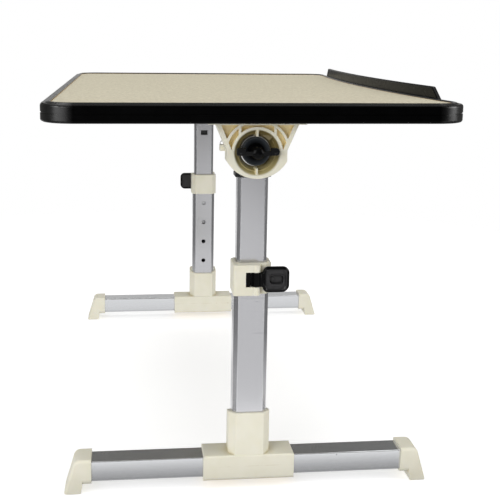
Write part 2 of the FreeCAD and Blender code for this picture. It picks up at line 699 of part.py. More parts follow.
def screw_pilots(body, node):
    """Holes for both brackets' screws, from the underside up."""
    holes = sketch_on(body, f"{node}_pilots", "XY_Plane", UNDERSIDE)
    for direction, turn in LEGS.values():
        for x, y in screw_places():
            circle(holes, "screw_radius", f"-({direction}) * ({x})",
                   f"{direction} * leg_offset - ({direction}) * ({y})")
    pocket(body, holes, "screw_length", reverse=True)


def build_top():
    board = layer("top_board", "bumper_wall", BOARD_BOTTOM, "board_thick")
    screw_pilots(board, "board")
    spine_level = f"{BUMPER_MIDDLE} - spine_thick / 2"
    groove = edge_ring(board, "board_groove", spine_level, "bumper_wall - run_past", "bumper_band")
    pocket(board, groove, "spine_thick", reverse=True)
    tongue_slot(board, "board")
    keep("top_board", board)
    keep("top_laminate", layer("top_laminate", "bumper_band", BOARD_TOP, "laminate_thick"))
    backing = layer("backing_sheet", "bumper_band", UNDERSIDE, "backing_thick")
    screw_pilots(backing, "backing")
    keep("backing_sheet", backing)

    bumper = layer("edge_bumper", "0", BUMPER_BOTTOM, "bumper_height")
    rims = value(BUMPER_TOP), value(BUMPER_BOTTOM)
    dress(bumper, "Fillet", lambda edge: any(at_level(edge, "z", rim) for rim in rims), "bumper_round")
    opening = sketch_on(bumper, "bumper_opening", "XY_Plane", BUMPER_BOTTOM)
    top_outline(opening, "bumper_band")
    pocket(bumper, opening, "bumper_height", reverse=True)
    seat = edge_ring(bumper, "bumper_seat", BOARD_BOTTOM, "bumper_wall", "bumper_band + run_past")
    pocket(bumper, seat, "board_thick", reverse=True)
    spine = edge_ring(bumper, "bumper_spine", spine_level, "bumper_wall - run_past", "bumper_band")
    pad(bumper, spine, "spine_thick")
    line = edge_ring(bumper, "bumper_line", f"{BUMPER_MIDDLE} - groove_width / 2", "-run_past", "groove_depth")
    pocket(bumper, line, "groove_width", reverse=True)
    tongue_slot(bumper, "bumper")
    keep("edge_bumper", bumper)

    lip = new_body("book_lip_body")
    strip = sketch_on(lip, "lip_strip", "XY_Plane", BUMPER_TOP)
    lip_strip(strip, "lip_inset", "lip_inset + lip_thick", "lip_length / 2")
    pad(lip, strip, "lip_height")
    tongue = sketch_on(lip, "lip_tongue", "XY_Plane", BUMPER_TOP)
    lip_strip(tongue, TONGUE_OUTER, TONGUE_INNER, TONGUE_HALF)
    pad(lip, tongue, "tongue_depth", reverse=True)
    rake_ends(lip)
    crest = value(f"{BUMPER_TOP} + lip_height")
    across = value("lip_thick * 2")
    dress(lip, "Fillet", lambda edge: at_level(edge, "z", crest) and edge.Length < across, "lip_corner")
    dress(lip, "Fillet", lambda edge: at_level(edge, "z", crest) and edge.Length > across, "lip_ease")
    keep("book_lip", lip)


def rake_ends(lip):
    """Slope both ends of the lip inwards towards its top."""
    end = sketch_on(lip, "lip_ends", "YZ_Plane")
    for side in (-1, 1):
        foot = f"{side} * lip_length / 2"
        crest = f"{side} * (lip_length / 2 - lip_rake)"
        beyond = f"{side} * (lip_length / 2 + run_past)"
        above = f"{BUMPER_TOP} + lip_height + run_past"
        corners = [(foot, BUMPER_TOP), (crest, f"{BUMPER_TOP} + lip_height"), (crest, above), (beyond, above),
                   (beyond, BUMPER_TOP)]
        first = closed_lines(end, [(value(across), value(up)) for across, up in corners])
        for step, (across, up) in enumerate(corners):
            rule(end, "DistanceX", -1, 1, first + step, 1, across)
            rule(end, "DistanceY", -1, 1, first + step, 1, up)
    pocket(lip, end, "top_width * 2", both_ways=True)


# ---- one leg ----------------------------------------------------------------------------------

def build_foot(side):
    bar = new_body(f"{side}_bar_body")
    section = sketch_on(bar, f"{side}_bar_section", "YZ_Plane")
    flat_topped(section, "bar_width", "bar_top", "bar_bottom", "bar_round")
    flat_topped(section, "bar_width - 2 * bar_wall", "bar_top - bar_wall", "bar_bottom + bar_wall",
                "bar_round - bar_wall")
    pad(bar, section, "2 * bar_half", both_ways=True)
    roof = value("bar_top")
    dress(bar, "Fillet", lambda edge: at_level(edge, "z", roof) and lies_along(edge, (1, 0, 0)), "bar_edge")
    bolt_hole = sketch_on(bar, f"{side}_bar_hole", "XY_Plane", "bar_top + run_past")
    circle(bolt_hole, "foot_bolt_radius")
    pocket(bar, bolt_hole, "bar_top")
    keep(f"{side}_foot_bar", bar, side)
    for place_name, direction in (("front", 1), ("rear", -1)):
        build_cap(side, place_name, direction)
    build_tee(side)


def build_cap(side, place_name, direction):
    """End cap: a round-bottomed sleeve on the bar and a foot with a sloping outer face."""
    name = f"{side}_cap_{place_name}"
    cap = new_body(f"{name}_body")
    profile = sketch_on(cap, f"{name}_profile", "XZ_Plane")
    corners = [("cap_step", "cap_top"), ("cap_step", "cap_lower"), ("cap_step + cap_slant", "cap_floor"),
               ("cap_outer", "cap_floor"), ("cap_crown", "cap_top")]
    corners = [(f"{direction} * ({across})", up) for across, up in corners]
    first = closed_lines(profile, [(value(across), value(up)) for across, up in corners])
    for step, (across, up) in enumerate(corners):
        rule(profile, "DistanceX", -1, 1, first + step, 1, across)
        rule(profile, "DistanceY", -1, 1, first + step, 1, up)
    pad(cap, profile, "cap_width", both_ways=True)
    level, shoulder = value("cap_top"), value(f"{direction} * cap_crown")
    dress(cap, "Fillet", lambda edge: at_level(edge, "z", level) and at_level(edge, "x", shoulder),
          "cap_shoulder")
    sleeve = sketch_on(cap, f"{name}_sleeve", "YZ_Plane", f"{direction} * cap_inner")
    flat_topped(sleeve, "cap_width", "cap_top", "cap_lower", "bar_round + (cap_width - bar_width) / 2")
    pad(cap, sleeve, "cap_step - cap_inner + run_past", reverse=direction < 0)
    dress(cap, "Fillet", lambda edge: at_level(edge, "z", level) and lies_along(edge, (1, 0, 0)), "cap_round")
    bore = sketch_on(cap, f"{name}_bore", "YZ_Plane", f"{direction} * cap_inner")
    flat_topped(bore, "bar_width", "bar_top", "bar_bottom", "bar_round")
    pocket(cap, bore, "bar_half - cap_inner + cap_play", reverse=direction > 0)
    insert = sketch_on(cap, f"{name}_insert", "XY_Plane")
    rounded_rectangle(insert, "pad_length", "pad_width", "pad_round", f"{direction} * pad_centre", "0")
    pocket(cap, insert, "pad_deep", reverse=True)
    keep(f"{side}_foot_cap_{place_name}", cap, side)

    rubber = new_body(f"{name}_rubber_body")
    outline = sketch_on(rubber, f"{name}_rubber_outline", "XY_Plane")
    rounded_rectangle(outline, "pad_length", "pad_width", "pad_round", f"{direction} * pad_centre", "0")
    pad(rubber, outline, "pad_deep")
    keep(f"{side}_foot_pad_{place_name}", rubber, side)


def build_tee(side):
    """Tee moulding: a sleeve on the foot bar with an upright socket, its rim lower on the inner side."""
    tee = new_body(f"{side}_tee_body")
    sleeve = sketch_on(tee, f"{side}_sleeve", "YZ_Plane")
    flat_topped(sleeve, "tee_depth", "tee_top", "tee_bottom", "tee_round")
    pad(tee, sleeve, "2 * tee_half", both_ways=True)
    high = value("tee_top")
    dress(tee, "Fillet", lambda edge: at_level(edge, "z", high), "tee_edge")
    socket = sketch_on(tee, f"{side}_socket", "XY_Plane", "bar_top + run_past")
    bevelled_rectangle(socket, "socket_width", "socket_depth", "socket_bevel")
    pad(tee, socket, "socket_rim - bar_top - run_past")
    rim = value("socket_rim")
    dress(tee, "Fillet", lambda edge: is_upright(edge) and at_top(edge, rim), "socket_ease")
    dress(tee, "Fillet", lambda edge: at_level(edge, "z", rim), "socket_edge")
    slope = sketch_on(tee, f"{side}_rim_slope", "YZ_Plane")
    above, beyond = "socket_rim + run_past", "socket_depth / 2 + run_past"
    corners = [("-socket_depth / 2 + socket_level", above), (beyond, "socket_rim - socket_fall"),
               (beyond, above)]
    first = closed_lines(slope, [(value(across), value(up)) for across, up in corners])
    for step, (across, up) in enumerate(corners):
        rule(slope, "DistanceX", -1, 1, first + step, 1, across)
        rule(slope, "DistanceY", -1, 1, first + step, 1, up)
    pocket(tee, slope, "socket_width * 2", both_ways=True)
    tube_seat = sketch_on(tee, f"{side}_tube_seat", "XY_Plane", above)
    bevelled_rectangle(tube_seat, "outer_width", "outer_depth", "outer_bevel")
    pocket(tee, tube_seat, f"{above} - socket_floor")
    bar_way = sketch_on(tee, f"{side}_bar_way", "YZ_Plane")
    flat_topped(bar_way, "bar_width", "bar_top", "bar_bottom", "bar_round")
    pocket(tee, bar_way, "4 * tee_half", both_ways=True)
    bolt_way = sketch_on(tee, f"{side}_tee_hole", "XY_Plane", "socket_floor + run_past")
    circle(bolt_way, "foot_bolt_radius")
    pocket(tee, bolt_way, "socket_floor + 2 * run_past")
    head_seat = sketch_on(tee, f"{side}_head_seat", "XY_Plane", "tee_bottom + foot_head_height")
    circle(head_seat, "foot_head_radius")
    pocket(tee, head_seat, "foot_head_height + run_past")
    keep(f"{side}_tee_connector", tee, side)

    shank = cylinder(f"{side}_foot_shank", "foot_bolt_radius", "foot_bolt_length", (0, 0, "tee_bottom"))
    head = cylinder(f"{side}_foot_head", "foot_head_radius", "foot_head_height", (0, 0, "tee_bottom"))
    drive = cylinder(f"{side}_foot_drive", "drive_radius", "drive_depth", (0, 0, "tee_bottom"))
    blank = fuse(f"{side}_foot_bolt_blank", shank, head)
    keep(f"{side}_foot_bolt", cut(f"{side}_foot_bolt_solid", blank, drive), side)


def is_upright(edge):
    return lies_along(edge, (0, 0, 1))


def at_top(edge, level):
    return abs(edge.BoundBox.ZMax - level) < TINY


def is_outside(edge, width, depth, bevel):
    """True for an upright edge of a bevelled rectangle's own outline."""
    point = edge.Vertexes[0].Point
    right, back, corner = value(width) / 2, value(depth) / 2, value(bevel)
    on_side = abs(abs(point.x) - right) < TINY and abs(abs(point.y) - back + corner) < TINY
    on_front = abs(abs(point.y) - back) < TINY and abs(abs(point.x) - right + corner) < TINY
    return is_upright(edge) and (on_side or on_front)


def tube(node, side, width, depth, bevel, wall, bottom, top):
    """A bevelled rectangular tube of even wall, with eased edges outside."""
    body = new_body(f"{side}_{node}_body")
    section = sketch_on(body, f"{side}_{node}_section", "XY_Plane", bottom)
    bevelled_rectangle(section, width, depth, bevel)
    bevelled_rectangle(section, f"{width} - 2 * {wall}", f"{depth} - 2 * {wall}",
                       f"{bevel} - (2 - sqrt(2)) * {wall}")
    pad(body, section, f"{top} - {bottom}")
    dress(body, "Fillet", lambda edge: is_outside(edge, width, depth, bevel), "tube_ease")
    return body


def build_outer_tube(side):
    body = tube("outer_tube", side, "outer_width", "outer_depth", "outer_bevel", "outer_wall",
                "socket_floor", "outer_top")
    holes = sketch_on(body, f"{side}_height_holes", "XZ_Plane", "-outer_depth / 2 - run_past")
    for step in range(int(value("hole_count"))):
        circle(holes, "hole_radius", 0, f"hole_first + {step} * hole_pitch")
    pocket(body, holes, "outer_wall + 2 * run_past", reverse=True)
    window = sketch_on(body, f"{side}_brake_window", "XZ_Plane", "outer_depth / 2 + run_past")
    rectangle(window, "pin_x - brake_width / 2", "pin_x + brake_width / 2", "slot_bottom + window_inset",
              "slot_top - window_inset")
    pocket(body, window, "outer_wall + 2 * run_past")
    keep(f"{side}_outer_tube", body, side)

    plug = new_body(f"{side}_tube_plug_body")
    section = sketch_on(plug, f"{side}_tube_plug_section", "XY_Plane", "socket_floor")
    bevelled_rectangle(section, "outer_width - 2 * outer_wall", "outer_depth - 2 * outer_wall",
                       "outer_bevel - (2 - sqrt(2)) * outer_wall")
    pad(plug, section, "plug_length")
    thread = sketch_on(plug, f"{side}_tube_plug_thread", "XY_Plane", "socket_floor + plug_length + run_past")
    circle(thread, "foot_bolt_radius")
    pocket(plug, thread, "plug_length + 2 * run_past")
    keep(f"{side}_tube_plug", plug, side)


def build_inner_tube(side):
    body = tube("inner_tube", side, "inner_width", "inner_depth", "inner_bevel", "inner_wall",
                "inner_bottom", "inner_top")
    square = sketch_on(body, f"{side}_square_hole", "XZ_Plane", "-inner_depth / 2 - run_past")
    rectangle(square, "-square_width / 2", "square_width / 2", "square_level - square_height / 2",
              "square_level + square_height / 2")
    pocket(body, square, "inner_wall + 2 * run_past", reverse=True)
    hole = sketch_on(body, f"{side}_button_hole", "XZ_Plane", "-inner_depth / 2 - run_past")
    circle(hole, "button_radius + button_gap", 0, "button_level")
    pocket(body, hole, "inner_wall + 2 * run_past", reverse=True)
    keep(f"{side}_inner_tube", body, side)

    plug = new_body(f"{side}_inner_plug_body")
    foot = sketch_on(plug, f"{side}_inner_plug_foot", "XY_Plane", "inner_bottom - guide_foot")
    bevelled_rectangle(foot, "inner_width", "inner_depth", "inner_bevel")
    pad(plug, foot, "guide_foot")
    stem = sketch_on(plug, f"{side}_inner_plug_stem", "XY_Plane", "inner_bottom")
    bevelled_rectangle(stem, "inner_width - 2 * inner_wall", "inner_depth - 2 * inner_wall",
                       "inner_bevel - (2 - sqrt(2)) * inner_wall")
    pad(plug, stem, "guide_stem")
    keep(f"{side}_inner_plug", plug, side)


def build_snap(side):
    """Domed button behind a height hole, on a leaf spring inside the inner tube."""
    inside = "(inner_depth / 2 - inner_wall)"
    stem = cylinder(f"{side}_button_stem", "button_radius", "inner_wall + button_root - button_step",
                    (0, f"{inside} - button_root", "button_level"), (0, 1, 0))
    flange = cylinder(f"{side}_button_flange", "button_radius + button_rim", "button_flange",
                      (0, f"{inside} - button_root - leaf_gap", "button_level"), (0, 1, 0))
    ball = sphere(f"{side}_button_ball", "dome_radius",
                  (0, "inner_depth / 2 + dome_rise - dome_radius", "button_level"))
    limit = cylinder(f"{side}_button_limit", "button_radius", "inner_depth / 2",
                     (0, f"{inside} - button_root", "button_level"), (0, 1, 0))
    dome = common(f"{side}_button_dome", ball, limit)
    keep(f"{side}_snap_button", fuse(f"{side}_snap_solid", stem, flange, dome), side)

    leaf_rear = f"(leaf_gap - {inside})"
    leaf_low = "button_level - leaf_below"
    leaf = ("leaf_width", "leaf_thick", "leaf_above + leaf_below")
    front = box(f"{side}_leaf_front", leaf, ("-leaf_width / 2", "leaf_front", leaf_low))
    rear = box(f"{side}_leaf_rear", leaf, ("-leaf_width / 2", leaf_rear, leaf_low))
    bend = box(f"{side}_leaf_bend", ("leaf_width", f"leaf_front + leaf_thick - {leaf_rear}", "leaf_thick"),
               ("-leaf_width / 2", leaf_rear, "button_level + leaf_above"))
    keep(f"{side}_snap_spring", fuse(f"{side}_leaf_solid", front, rear, bend), side)


def build_collar(side):
    """Clamp collar with a slotted cheek that carries the lever's pin."""
    body = new_body(f"{side}_collar_body")
    band = sketch_on(body, f"{side}_collar_band", "XY_Plane", "collar_bottom")
    bevelled_rectangle(band, "collar_width", "collar_depth", "collar_bevel")
    tall = "collar_top - collar_bottom"
    pad(body, band, tall)
    dress(body, "Fillet", lambda edge: is_upright(edge) and edge.Vertexes[0].Y > 0, "collar_ease")
    root = "-collar_depth / 2 + cheek_root"
    cheek = sketch_on(body, f"{side}_collar_cheek", "XY_Plane", "collar_bottom")
    rectangle(cheek, "-cheek_left", "pin_x", "-cheek_front", root)
    pad(body, cheek, tall)
    barrel = sketch_on(body, f"{side}_collar_barrel", "XY_Plane", "collar_bottom")
    circle(barrel, "barrel_radius", "pin_x", "-pin_y")
    pad(body, barrel, tall)
    web = sketch_on(body, f"{side}_collar_web", "XY_Plane", "collar_bottom")
    rectangle(web, "pin_x", "pin_x + barrel_radius", "-pin_y", root)
    pad(body, web, tall)
    outer_end = value("-cheek_left")
    dress(body, "Fillet", lambda edge: lies_along(edge, (0, 0, 1)) and at_level(edge, "x", outer_end)
          and edge.Vertexes[0].Y < value(root) - TINY, "cheek_edge")
    rims = value("collar_top"), value("collar_bottom")
    dress(body, "Fillet", lambda edge: any(at_level(edge, "z", rim) for rim in rims), "collar_edge")
    tube_way = sketch_on(body, f"{side}_collar_bore", "XY_Plane", "collar_bottom")
    bevelled_rectangle(tube_way, "outer_width", "outer_depth", "outer_bevel")
    pocket(body, tube_way, "outer_top - collar_bottom", reverse=True)
    lip = sketch_on(body, f"{side}_collar_lip", "XY_Plane", "collar_top")
    bevelled_rectangle(lip, "inner_width + 2 * collar_gap", "inner_depth + 2 * collar_gap",
                       "inner_bevel + (2 - sqrt(2)) * collar_gap")
    pocket(body, lip, "collar_top - outer_top + run_past")
    slot = sketch_on(body, f"{side}_collar_slot", "XZ_Plane", "pin_y + barrel_radius + run_past")
    rectangle(slot, "-slot_left", "pin_x + barrel_radius + run_past", "slot_bottom", "slot_top")
    pocket(body, slot, "pin_y + barrel_radius + run_past - outer_depth / 2")
    pin_tall = f"{tall} - 2 * pin_cover"
    pin_way = sketch_on(body, f"{side}_pin_way", "XY_Plane", "collar_top - pin_cover")
    circle(pin_way, "pin_radius", "pin_x", "-pin_y")
    pocket(body, pin_way, pin_tall)
    keep(f"{side}_clamp_collar", body, side)
    pin = cylinder(f"{side}_pin_rod", "pin_radius", pin_tall, ("pin_x", "-pin_y", "collar_bottom + pin_cover"))
    keep(f"{side}_lever_pin", group(f"{side}_pin_solid", [pin]), side)
    margin = "window_inset + brake_play"
    brake = box(f"{side}_brake_block",
                ("brake_width - 2 * brake_play", "brake_thick", f"slot_top - slot_bottom - 2 * ({margin})"),
                ("pin_x - brake_width / 2 + brake_play", "brake_gap - outer_depth / 2",
                 f"slot_bottom + {margin}"))
    keep(f"{side}_brake_pad", group(f"{side}_brake_solid", [brake]), side)


CAM_RIBS = (200, 240, 290)   # degrees round the cam


def build_lever(side):
    """Cam lever: an off-centre cam on the pin, an arm, and a rounded-square paddle with a thumb dent."""
    body = new_body(f"{side}_paddle_body")
    face = sketch_on(body, f"{side}_paddle_face", "XZ_Plane", "paddle_front - paddle_thick")
    middle = "(slot_bottom + slot_top) / 2"
    centre = "(paddle_left + paddle_size / 2)"
    rounded_rectangle(face, "paddle_size", "paddle_size", "paddle_round", centre, middle)
    pad(body, face, "paddle_thick")
    dress(body, "Fillet", lambda edge: at_level(edge, "y", value("-paddle_front")), "paddle_edge")
    dent = sketch_on(body, f"{side}_paddle_dent", "XZ_Plane", "paddle_front")
    rounded_rectangle(dent, "dent_length", "dent_height", "dent_round", f"{centre} + dent_shift", middle)
    pocket(body, dent, "dent_depth")
    low = "slot_bottom + lever_gap"
    tall = "slot_top - slot_bottom - 2 * lever_gap"
    cam = cylinder(f"{side}_cam", "cam_radius", tall, ("pin_x", "cam_throw - pin_y", low))
    arm = box(f"{side}_arm", ("paddle_left + arm_root - pin_x", "paddle_thick - arm_step", tall),
              ("pin_x", "arm_step - paddle_front", low))
    ribs = []
    for number, angle in enumerate(CAM_RIBS):
        spot = (f"pin_x + cam_radius * cos({angle})", f"cam_throw - pin_y + cam_radius * sin({angle})", low)
        ribs.append(cylinder(f"{side}_cam_rib_{number}", "cam_rib", tall, spot))
    blank = fuse(f"{side}_lever_blank", body, cam, arm, *ribs)
    pin_way = cylinder(f"{side}_lever_bore", "pin_radius + pin_play", "collar_top - collar_bottom",
                       ("pin_x", "-pin_y", "collar_bottom"))
    keep(f"{side}_clamp_lever", cut(f"{side}_lever_solid", blank, pin_way), side)


def build_head(side):
    """Leg head: a plug in the inner tube, a flange on its end, a neck and the pivot hub with its boss."""
    body = new_body(f"{side}_head_body")
    flange = sketch_on(body, f"{side}_head_flange", "XY_Plane", "inner_top")
    bevelled_rectangle(flange, "inner_width + 2 * head_over", "inner_depth + 2 * head_proud",
                       "inner_bevel + head_edge")
    pad(body, flange, "head_flange")
    rims = value("inner_top"), value("inner_top + head_flange")
    dress(body, "Fillet", lambda edge: any(at_level(edge, "z", rim) for rim in rims), "head_edge")
    plug = sketch_on(body, f"{side}_head_plug", "XY_Plane", "inner_top - plug_length")
    bevelled_rectangle(plug, "inner_width - 2 * inner_wall", "inner_depth - 2 * inner_wall",
                       "inner_bevel - (2 - sqrt(2)) * inner_wall")
    pad(body, plug, "plug_length + run_past")
    neck = box(f"{side}_neck", ("neck_width", "inner_depth", "pivot_height - inner_top - neck_root"),
               ("-neck_width / 2", "-inner_depth / 2", "inner_top + neck_root"))
    hub = cylinder(f"{side}_hub", "hub_radius", "ring_back - hub_gap + inner_depth / 2",
                   (0, "inner_depth / 2", "pivot_height"), (0, -1, 0))
    boss = cylinder(f"{side}_boss", "boss_radius", "ring_front - recess_depth - hub_gap",
                    (0, 0, "pivot_height"), (0, -1, 0))
    bore = cylinder(f"{side}_head_bore", "bolt_radius", "2 * ring_front",
                    (0, "ring_front", "pivot_height"), (0, -1, 0))
    stem_way = cylinder(f"{side}_plunger_way", "plunger_radius + plunger_gap", "hub_radius",
                        ("-hub_radius * 4 / 3", "-plunger_line", "pivot_height + plunger_rise"), (1, 0, 0))
    blank = fuse(f"{side}_head_blank", body, neck, hub, boss)
    keep(f"{side}_leg_head", cut(f"{side}_head_solid", blank, bore, stem_way), side)

    shank = cylinder(f"{side}_pivot_shank", "bolt_radius", "inner_depth / 2 + ring_front + bolt_past",
                     (0, "inner_depth / 2", "pivot_height"), (0, -1, 0))
    head = doc.addObject("Part::Prism", f"{side}_pivot_hex")
    head.Polygon = 6
    bind(head, "Circumradius", "hex_radius")
    bind(head, "Height", "hex_height")
    head.Placement = Placement(Vector(), along((0, 1, 0)))
    place(head, 0, "inner_depth / 2", "pivot_height")
    keep(f"{side}_pivot_bolt", fuse(f"{side}_pivot_solid", shank, head), side)


def build_knob(side):
    """Dished disc with a wing across it; the wing's ends are thicker and carry a small pip each."""
    start = "(ring_front - recess_depth)"
    disc = cylinder(f"{side}_washer_disc", "washer_radius", "washer_thick",
                    (0, f"-{start} - washer_gap", "pivot_height"), (0, -1, 0))
    hole = cylinder(f"{side}_washer_hole", "bolt_radius + washer_play", "2 * ring_front",
                    (0, 0, "pivot_height"), (0, -1, 0))
    keep(f"{side}_knob_washer", cut(f"{side}_washer_solid", disc, hole), side)
    back = f"({start} + washer_gap + washer_thick)"
    disc_face = f"({back} + knob_thick)"
    disc = cylinder(f"{side}_knob_disc", "knob_radius", "knob_thick",
                    (0, f"-{back}", "pivot_height"), (0, -1, 0))
    dish = cone(f"{side}_knob_dish", "knob_hub", "knob_radius - dish_rim", "knob_dish",
                (0, f"-{disc_face} + knob_dish", "pivot_height"), (0, -1, 0))
    wing_face = "(ring_front + wing_gap + wing_depth)"
    hub = cylinder(f"{side}_knob_hub", "knob_hub", f"{wing_face} - {back}",
                   (0, f"-{back}", "pivot_height"), (0, -1, 0))
    wing = box(f"{side}_wing", ("2 * wing_half", "wing_depth", "wing_thick"),
               ("-wing_half", f"-{wing_face}", "pivot_height - wing_thick / 2"))
    pieces = [hub, wing]
    for number, (edge, direction) in enumerate((("-wing_half", -1), ("wing_half - wing_block", 1))):
        pieces.append(box(f"{side}_wing_end_{number}", ("wing_block", "wing_depth", "wing_end"),
                          (edge, f"-{wing_face}", "pivot_height - wing_end / 2")))
        spot = (f"{direction} * (wing_half - pip_inset)", f"-{wing_face}", "pivot_height - pip_drop")
        pieces.append(sphere(f"{side}_wing_pip_{number}", "pip_radius", spot))
    plate = cut(f"{side}_knob_plate", disc, dish)
    bore = cylinder(f"{side}_knob_bore", "bolt_radius + bolt_play", "recess_depth + bolt_past + bolt_room",
                    (0, f"-{start}", "pivot_height"), (0, -1, 0))
    blank = fuse(f"{side}_knob_blank", plate, *pieces)
    keep(f"{side}_lock_knob", cut(f"{side}_knob_solid", blank, bore), side)


def build_plunger(side):
    """Index plunger at the head's side: stem, tab, a wire ring on the tab and a coil round the stem."""
    level = "(pivot_height + plunger_rise)"
    line = "-plunger_line"
    stem = cylinder(f"{side}_plunger_stem", "plunger_radius", "tab_near - plunger_tip",
                    ("-tab_near", line, level), (1, 0, 0))
    tab = box(f"{side}_plunger_tab", ("tab_far - tab_near", "tab_width", "tab_size"),
              ("-tab_far", f"{line} - tab_width / 2", f"{level} - tab_size / 2"))
    eye = wire_loop(f"{side}_plunger_eye", "loop_wire + loop_play", level)
    blank = fuse(f"{side}_plunger_blank", stem, tab)
    keep(f"{side}_index_plunger", cut(f"{side}_plunger_solid", blank, eye), side)
    loop = wire_loop(f"{side}_pull_loop", "loop_wire", level)
    keep(f"{side}_pull_ring", group(f"{side}_pull_solid", [loop]), side)

    room = "(tab_near - hub_radius - 2 * spring_gap)"
    coil = doc.addObject("Part::Helix", f"{side}_coil_path")
    bind(coil, "Radius", "plunger_radius + spring_gap")
    bind(coil, "Height", room)
    bind(coil, "Pitch", f"{room} / spring_turns")
    wire = doc.addObject("Part::Circle", f"{side}_coil_wire")
    bind(wire, "Radius", "spring_wire")
    wire.Placement = Placement(Vector(), along((0, 1, 0)))
    place(wire, "plunger_radius + spring_gap")
    swept = doc.addObject("Part::Sweep", f"{side}_coil")
    swept.Sections = [wire]
    swept.Spine = (coil, ["Edge1"])
    swept.Solid = True
    swept.Frenet = True
    swept.Placement = Placement(Vector(), along((-1, 0, 0)))
    place(swept, "-hub_radius - spring_gap", line, level)
    keep(f"{side}_plunger_spring", group(f"{side}_coil_solid", [swept]), side)


def wire_loop(name, wire, level):
    """A ring of wire threaded through the tab's top, facing the table's end."""
    loop = doc.addObject("Part::Torus", name)
    bind(loop, "Radius1", "loop_radius")
    bind(loop, "Radius2", wire)
    loop.Placement = Placement(Vector(), along((0, 1, 0)))
    return place(loop, "-(tab_near + tab_far) / 2", "-plunger_line", f"{level} + tab_size / 2 + loop_rise")


def build_bracket(side):
    """Ribbed bracket under the top: a ring with a stepped recess, splayed sides, ribs and a flange."""
    deep = "ring_front - ring_back"
    seat = f"({UNDERSIDE} - flange_thick)"
    chin = cylinder(f"{side}_chin", "ring_chin", deep,
                    (0, "-ring_back", "pivot_height + chin_rise"), (0, -1, 0))
    cheeks = box(f"{side}_cheeks", ("2 * ring_half", deep, "ring_chin - chin_rise + wall_low"),
                 ("-ring_half", "-ring_front", "pivot_height - ring_chin + chin_rise"))
    lower = common(f"{side}_bracket_lower", chin, cheeks)
    upper = splayed(f"{side}_bracket_upper", "ring_half", "wall_half", "pivot_height + wall_low", seat, deep)
    block = fuse(f"{side}_bracket_block", lower, upper)

    room = splayed(f"{side}_pocket_room", "pocket_low_half", "pocket_high_half", "pivot_height + wall_low",
                   f"{seat} - pocket_gap", "pocket_depth")
    arch = cut(f"{side}_arch", face_disc(f"{side}_arch_disc", "arch_outer"),
               face_disc(f"{side}_arch_gap", "arch_inner"))
    webs = [face_disc(f"{side}_rim", "rim_radius"), arch]
    for number, direction in enumerate((-1, 1)):
        corner = (f"{direction} * rib_place - rib_thick / 2", "-ring_front", "pivot_height + rib_foot")
        upright = ("rib_thick", "pocket_depth", "top_surface - pivot_height")
        webs.append(box(f"{side}_upright_{number}", upright, corner))
    pockets = cut(f"{side}_pockets", room, fuse(f"{side}_webs", *webs))

    mouth = cone(f"{side}_mouth", "shelf_radius", "mouth_radius", "shelf_depth",
                 (0, "-ring_front + shelf_depth", "pivot_height"), (0, -1, 0))
    well = cone(f"{side}_well", "floor_radius", "well_radius", "recess_depth - shelf_depth",
                (0, "-ring_front + recess_depth", "pivot_height"), (0, -1, 0))
    bore = cylinder(f"{side}_bracket_bore", "boss_radius + boss_play", "2 * ring_front",
                    (0, 0, "pivot_height"), (0, -1, 0))
    ring = cut(f"{side}_bracket_ring", block, pockets, mouth, well, bore)

    flange = box(f"{side}_flange", ("2 * flange_half", "ring_front + flange_rear", "flange_thick"),
                 ("-flange_half", "-ring_front", seat))
    additions = [ring, flange]
    for number, direction in enumerate((-1, 1)):
        additions.append(box(f"{side}_key_{number}", ("key_width", "recess_depth - key_step", "key_height"),
                             ("-key_width / 2", "key_step - ring_front",
                              f"pivot_height + {direction} * key_place - key_height / 2")))
    additions.append(locking_ramp(side))
    blank = fuse(f"{side}_bracket_blank", *additions)
    holes = [cylinder(f"{side}_screw_way_{number}", "screw_radius", "flange_thick + 2 * run_past",
                      (x, y, f"{seat} - run_past"))
             for number, (x, y) in enumerate(screw_places())]
    keep(f"{side}_tilt_bracket", cut(f"{side}_bracket_solid", blank, *holes), side)

    screws = []
    for number, (x, y) in enumerate(screw_places()):
        shank = cylinder(f"{side}_screw_shank_{number}", "screw_radius", "screw_length", (x, y, seat))
        head = cylinder(f"{side}_screw_head_{number}", "screw_head", "screw_rise",
                        (x, y, f"{seat} - screw_rise"))
        slot = box(f"{side}_screw_slot_{number}", ("1.4 * screw_head", "screw_slot", "screw_slot"),
                   (f"{x} - 0.7 * screw_head", f"{y} - screw_slot / 2", f"{seat} - screw_rise"))
        screws.append(cut(f"{side}_screw_{number}", fuse(f"{side}_screw_blank_{number}", shank, head), slot))
    keep(f"{side}_bracket_screws", group(f"{side}_screws_solid", screws), side)


def screw_places():
    return [(f"{direction} * screw_spread", spot) for direction in (-1, 1)
            for spot in ("-screw_front", "screw_rear")]


def splayed(name, low_half, high_half, bottom, top, depth):
    """A block in the bracket's face whose sides splay upwards."""
    wedge = doc.addObject("Part::Wedge", name)
    for prop, expression in (("Xmin", f"-({low_half})"), ("Xmax", low_half), ("X2min", f"-({high_half})"),
                             ("X2max", high_half), ("Zmin", "0"), ("Z2min", "0"), ("Zmax", depth),
                             ("Z2max", depth), ("Ymin", "0"), ("Ymax", f"{top} - ({bottom})")):
        bind(wedge, prop, expression)
    wedge.Placement = Placement(Vector(), Rotation(Vector(1, 0, 0), 90))
    return place(wedge, 0, f"-ring_front + ({depth})", bottom)


def face_disc(name, radius):
    """A disc on the tilt axis, as deep as the bracket's pockets."""
    return cylinder(name, radius, "pocket_depth",
                    (0, "pocket_depth - ring_front", "pivot_height"), (0, -1, 0))


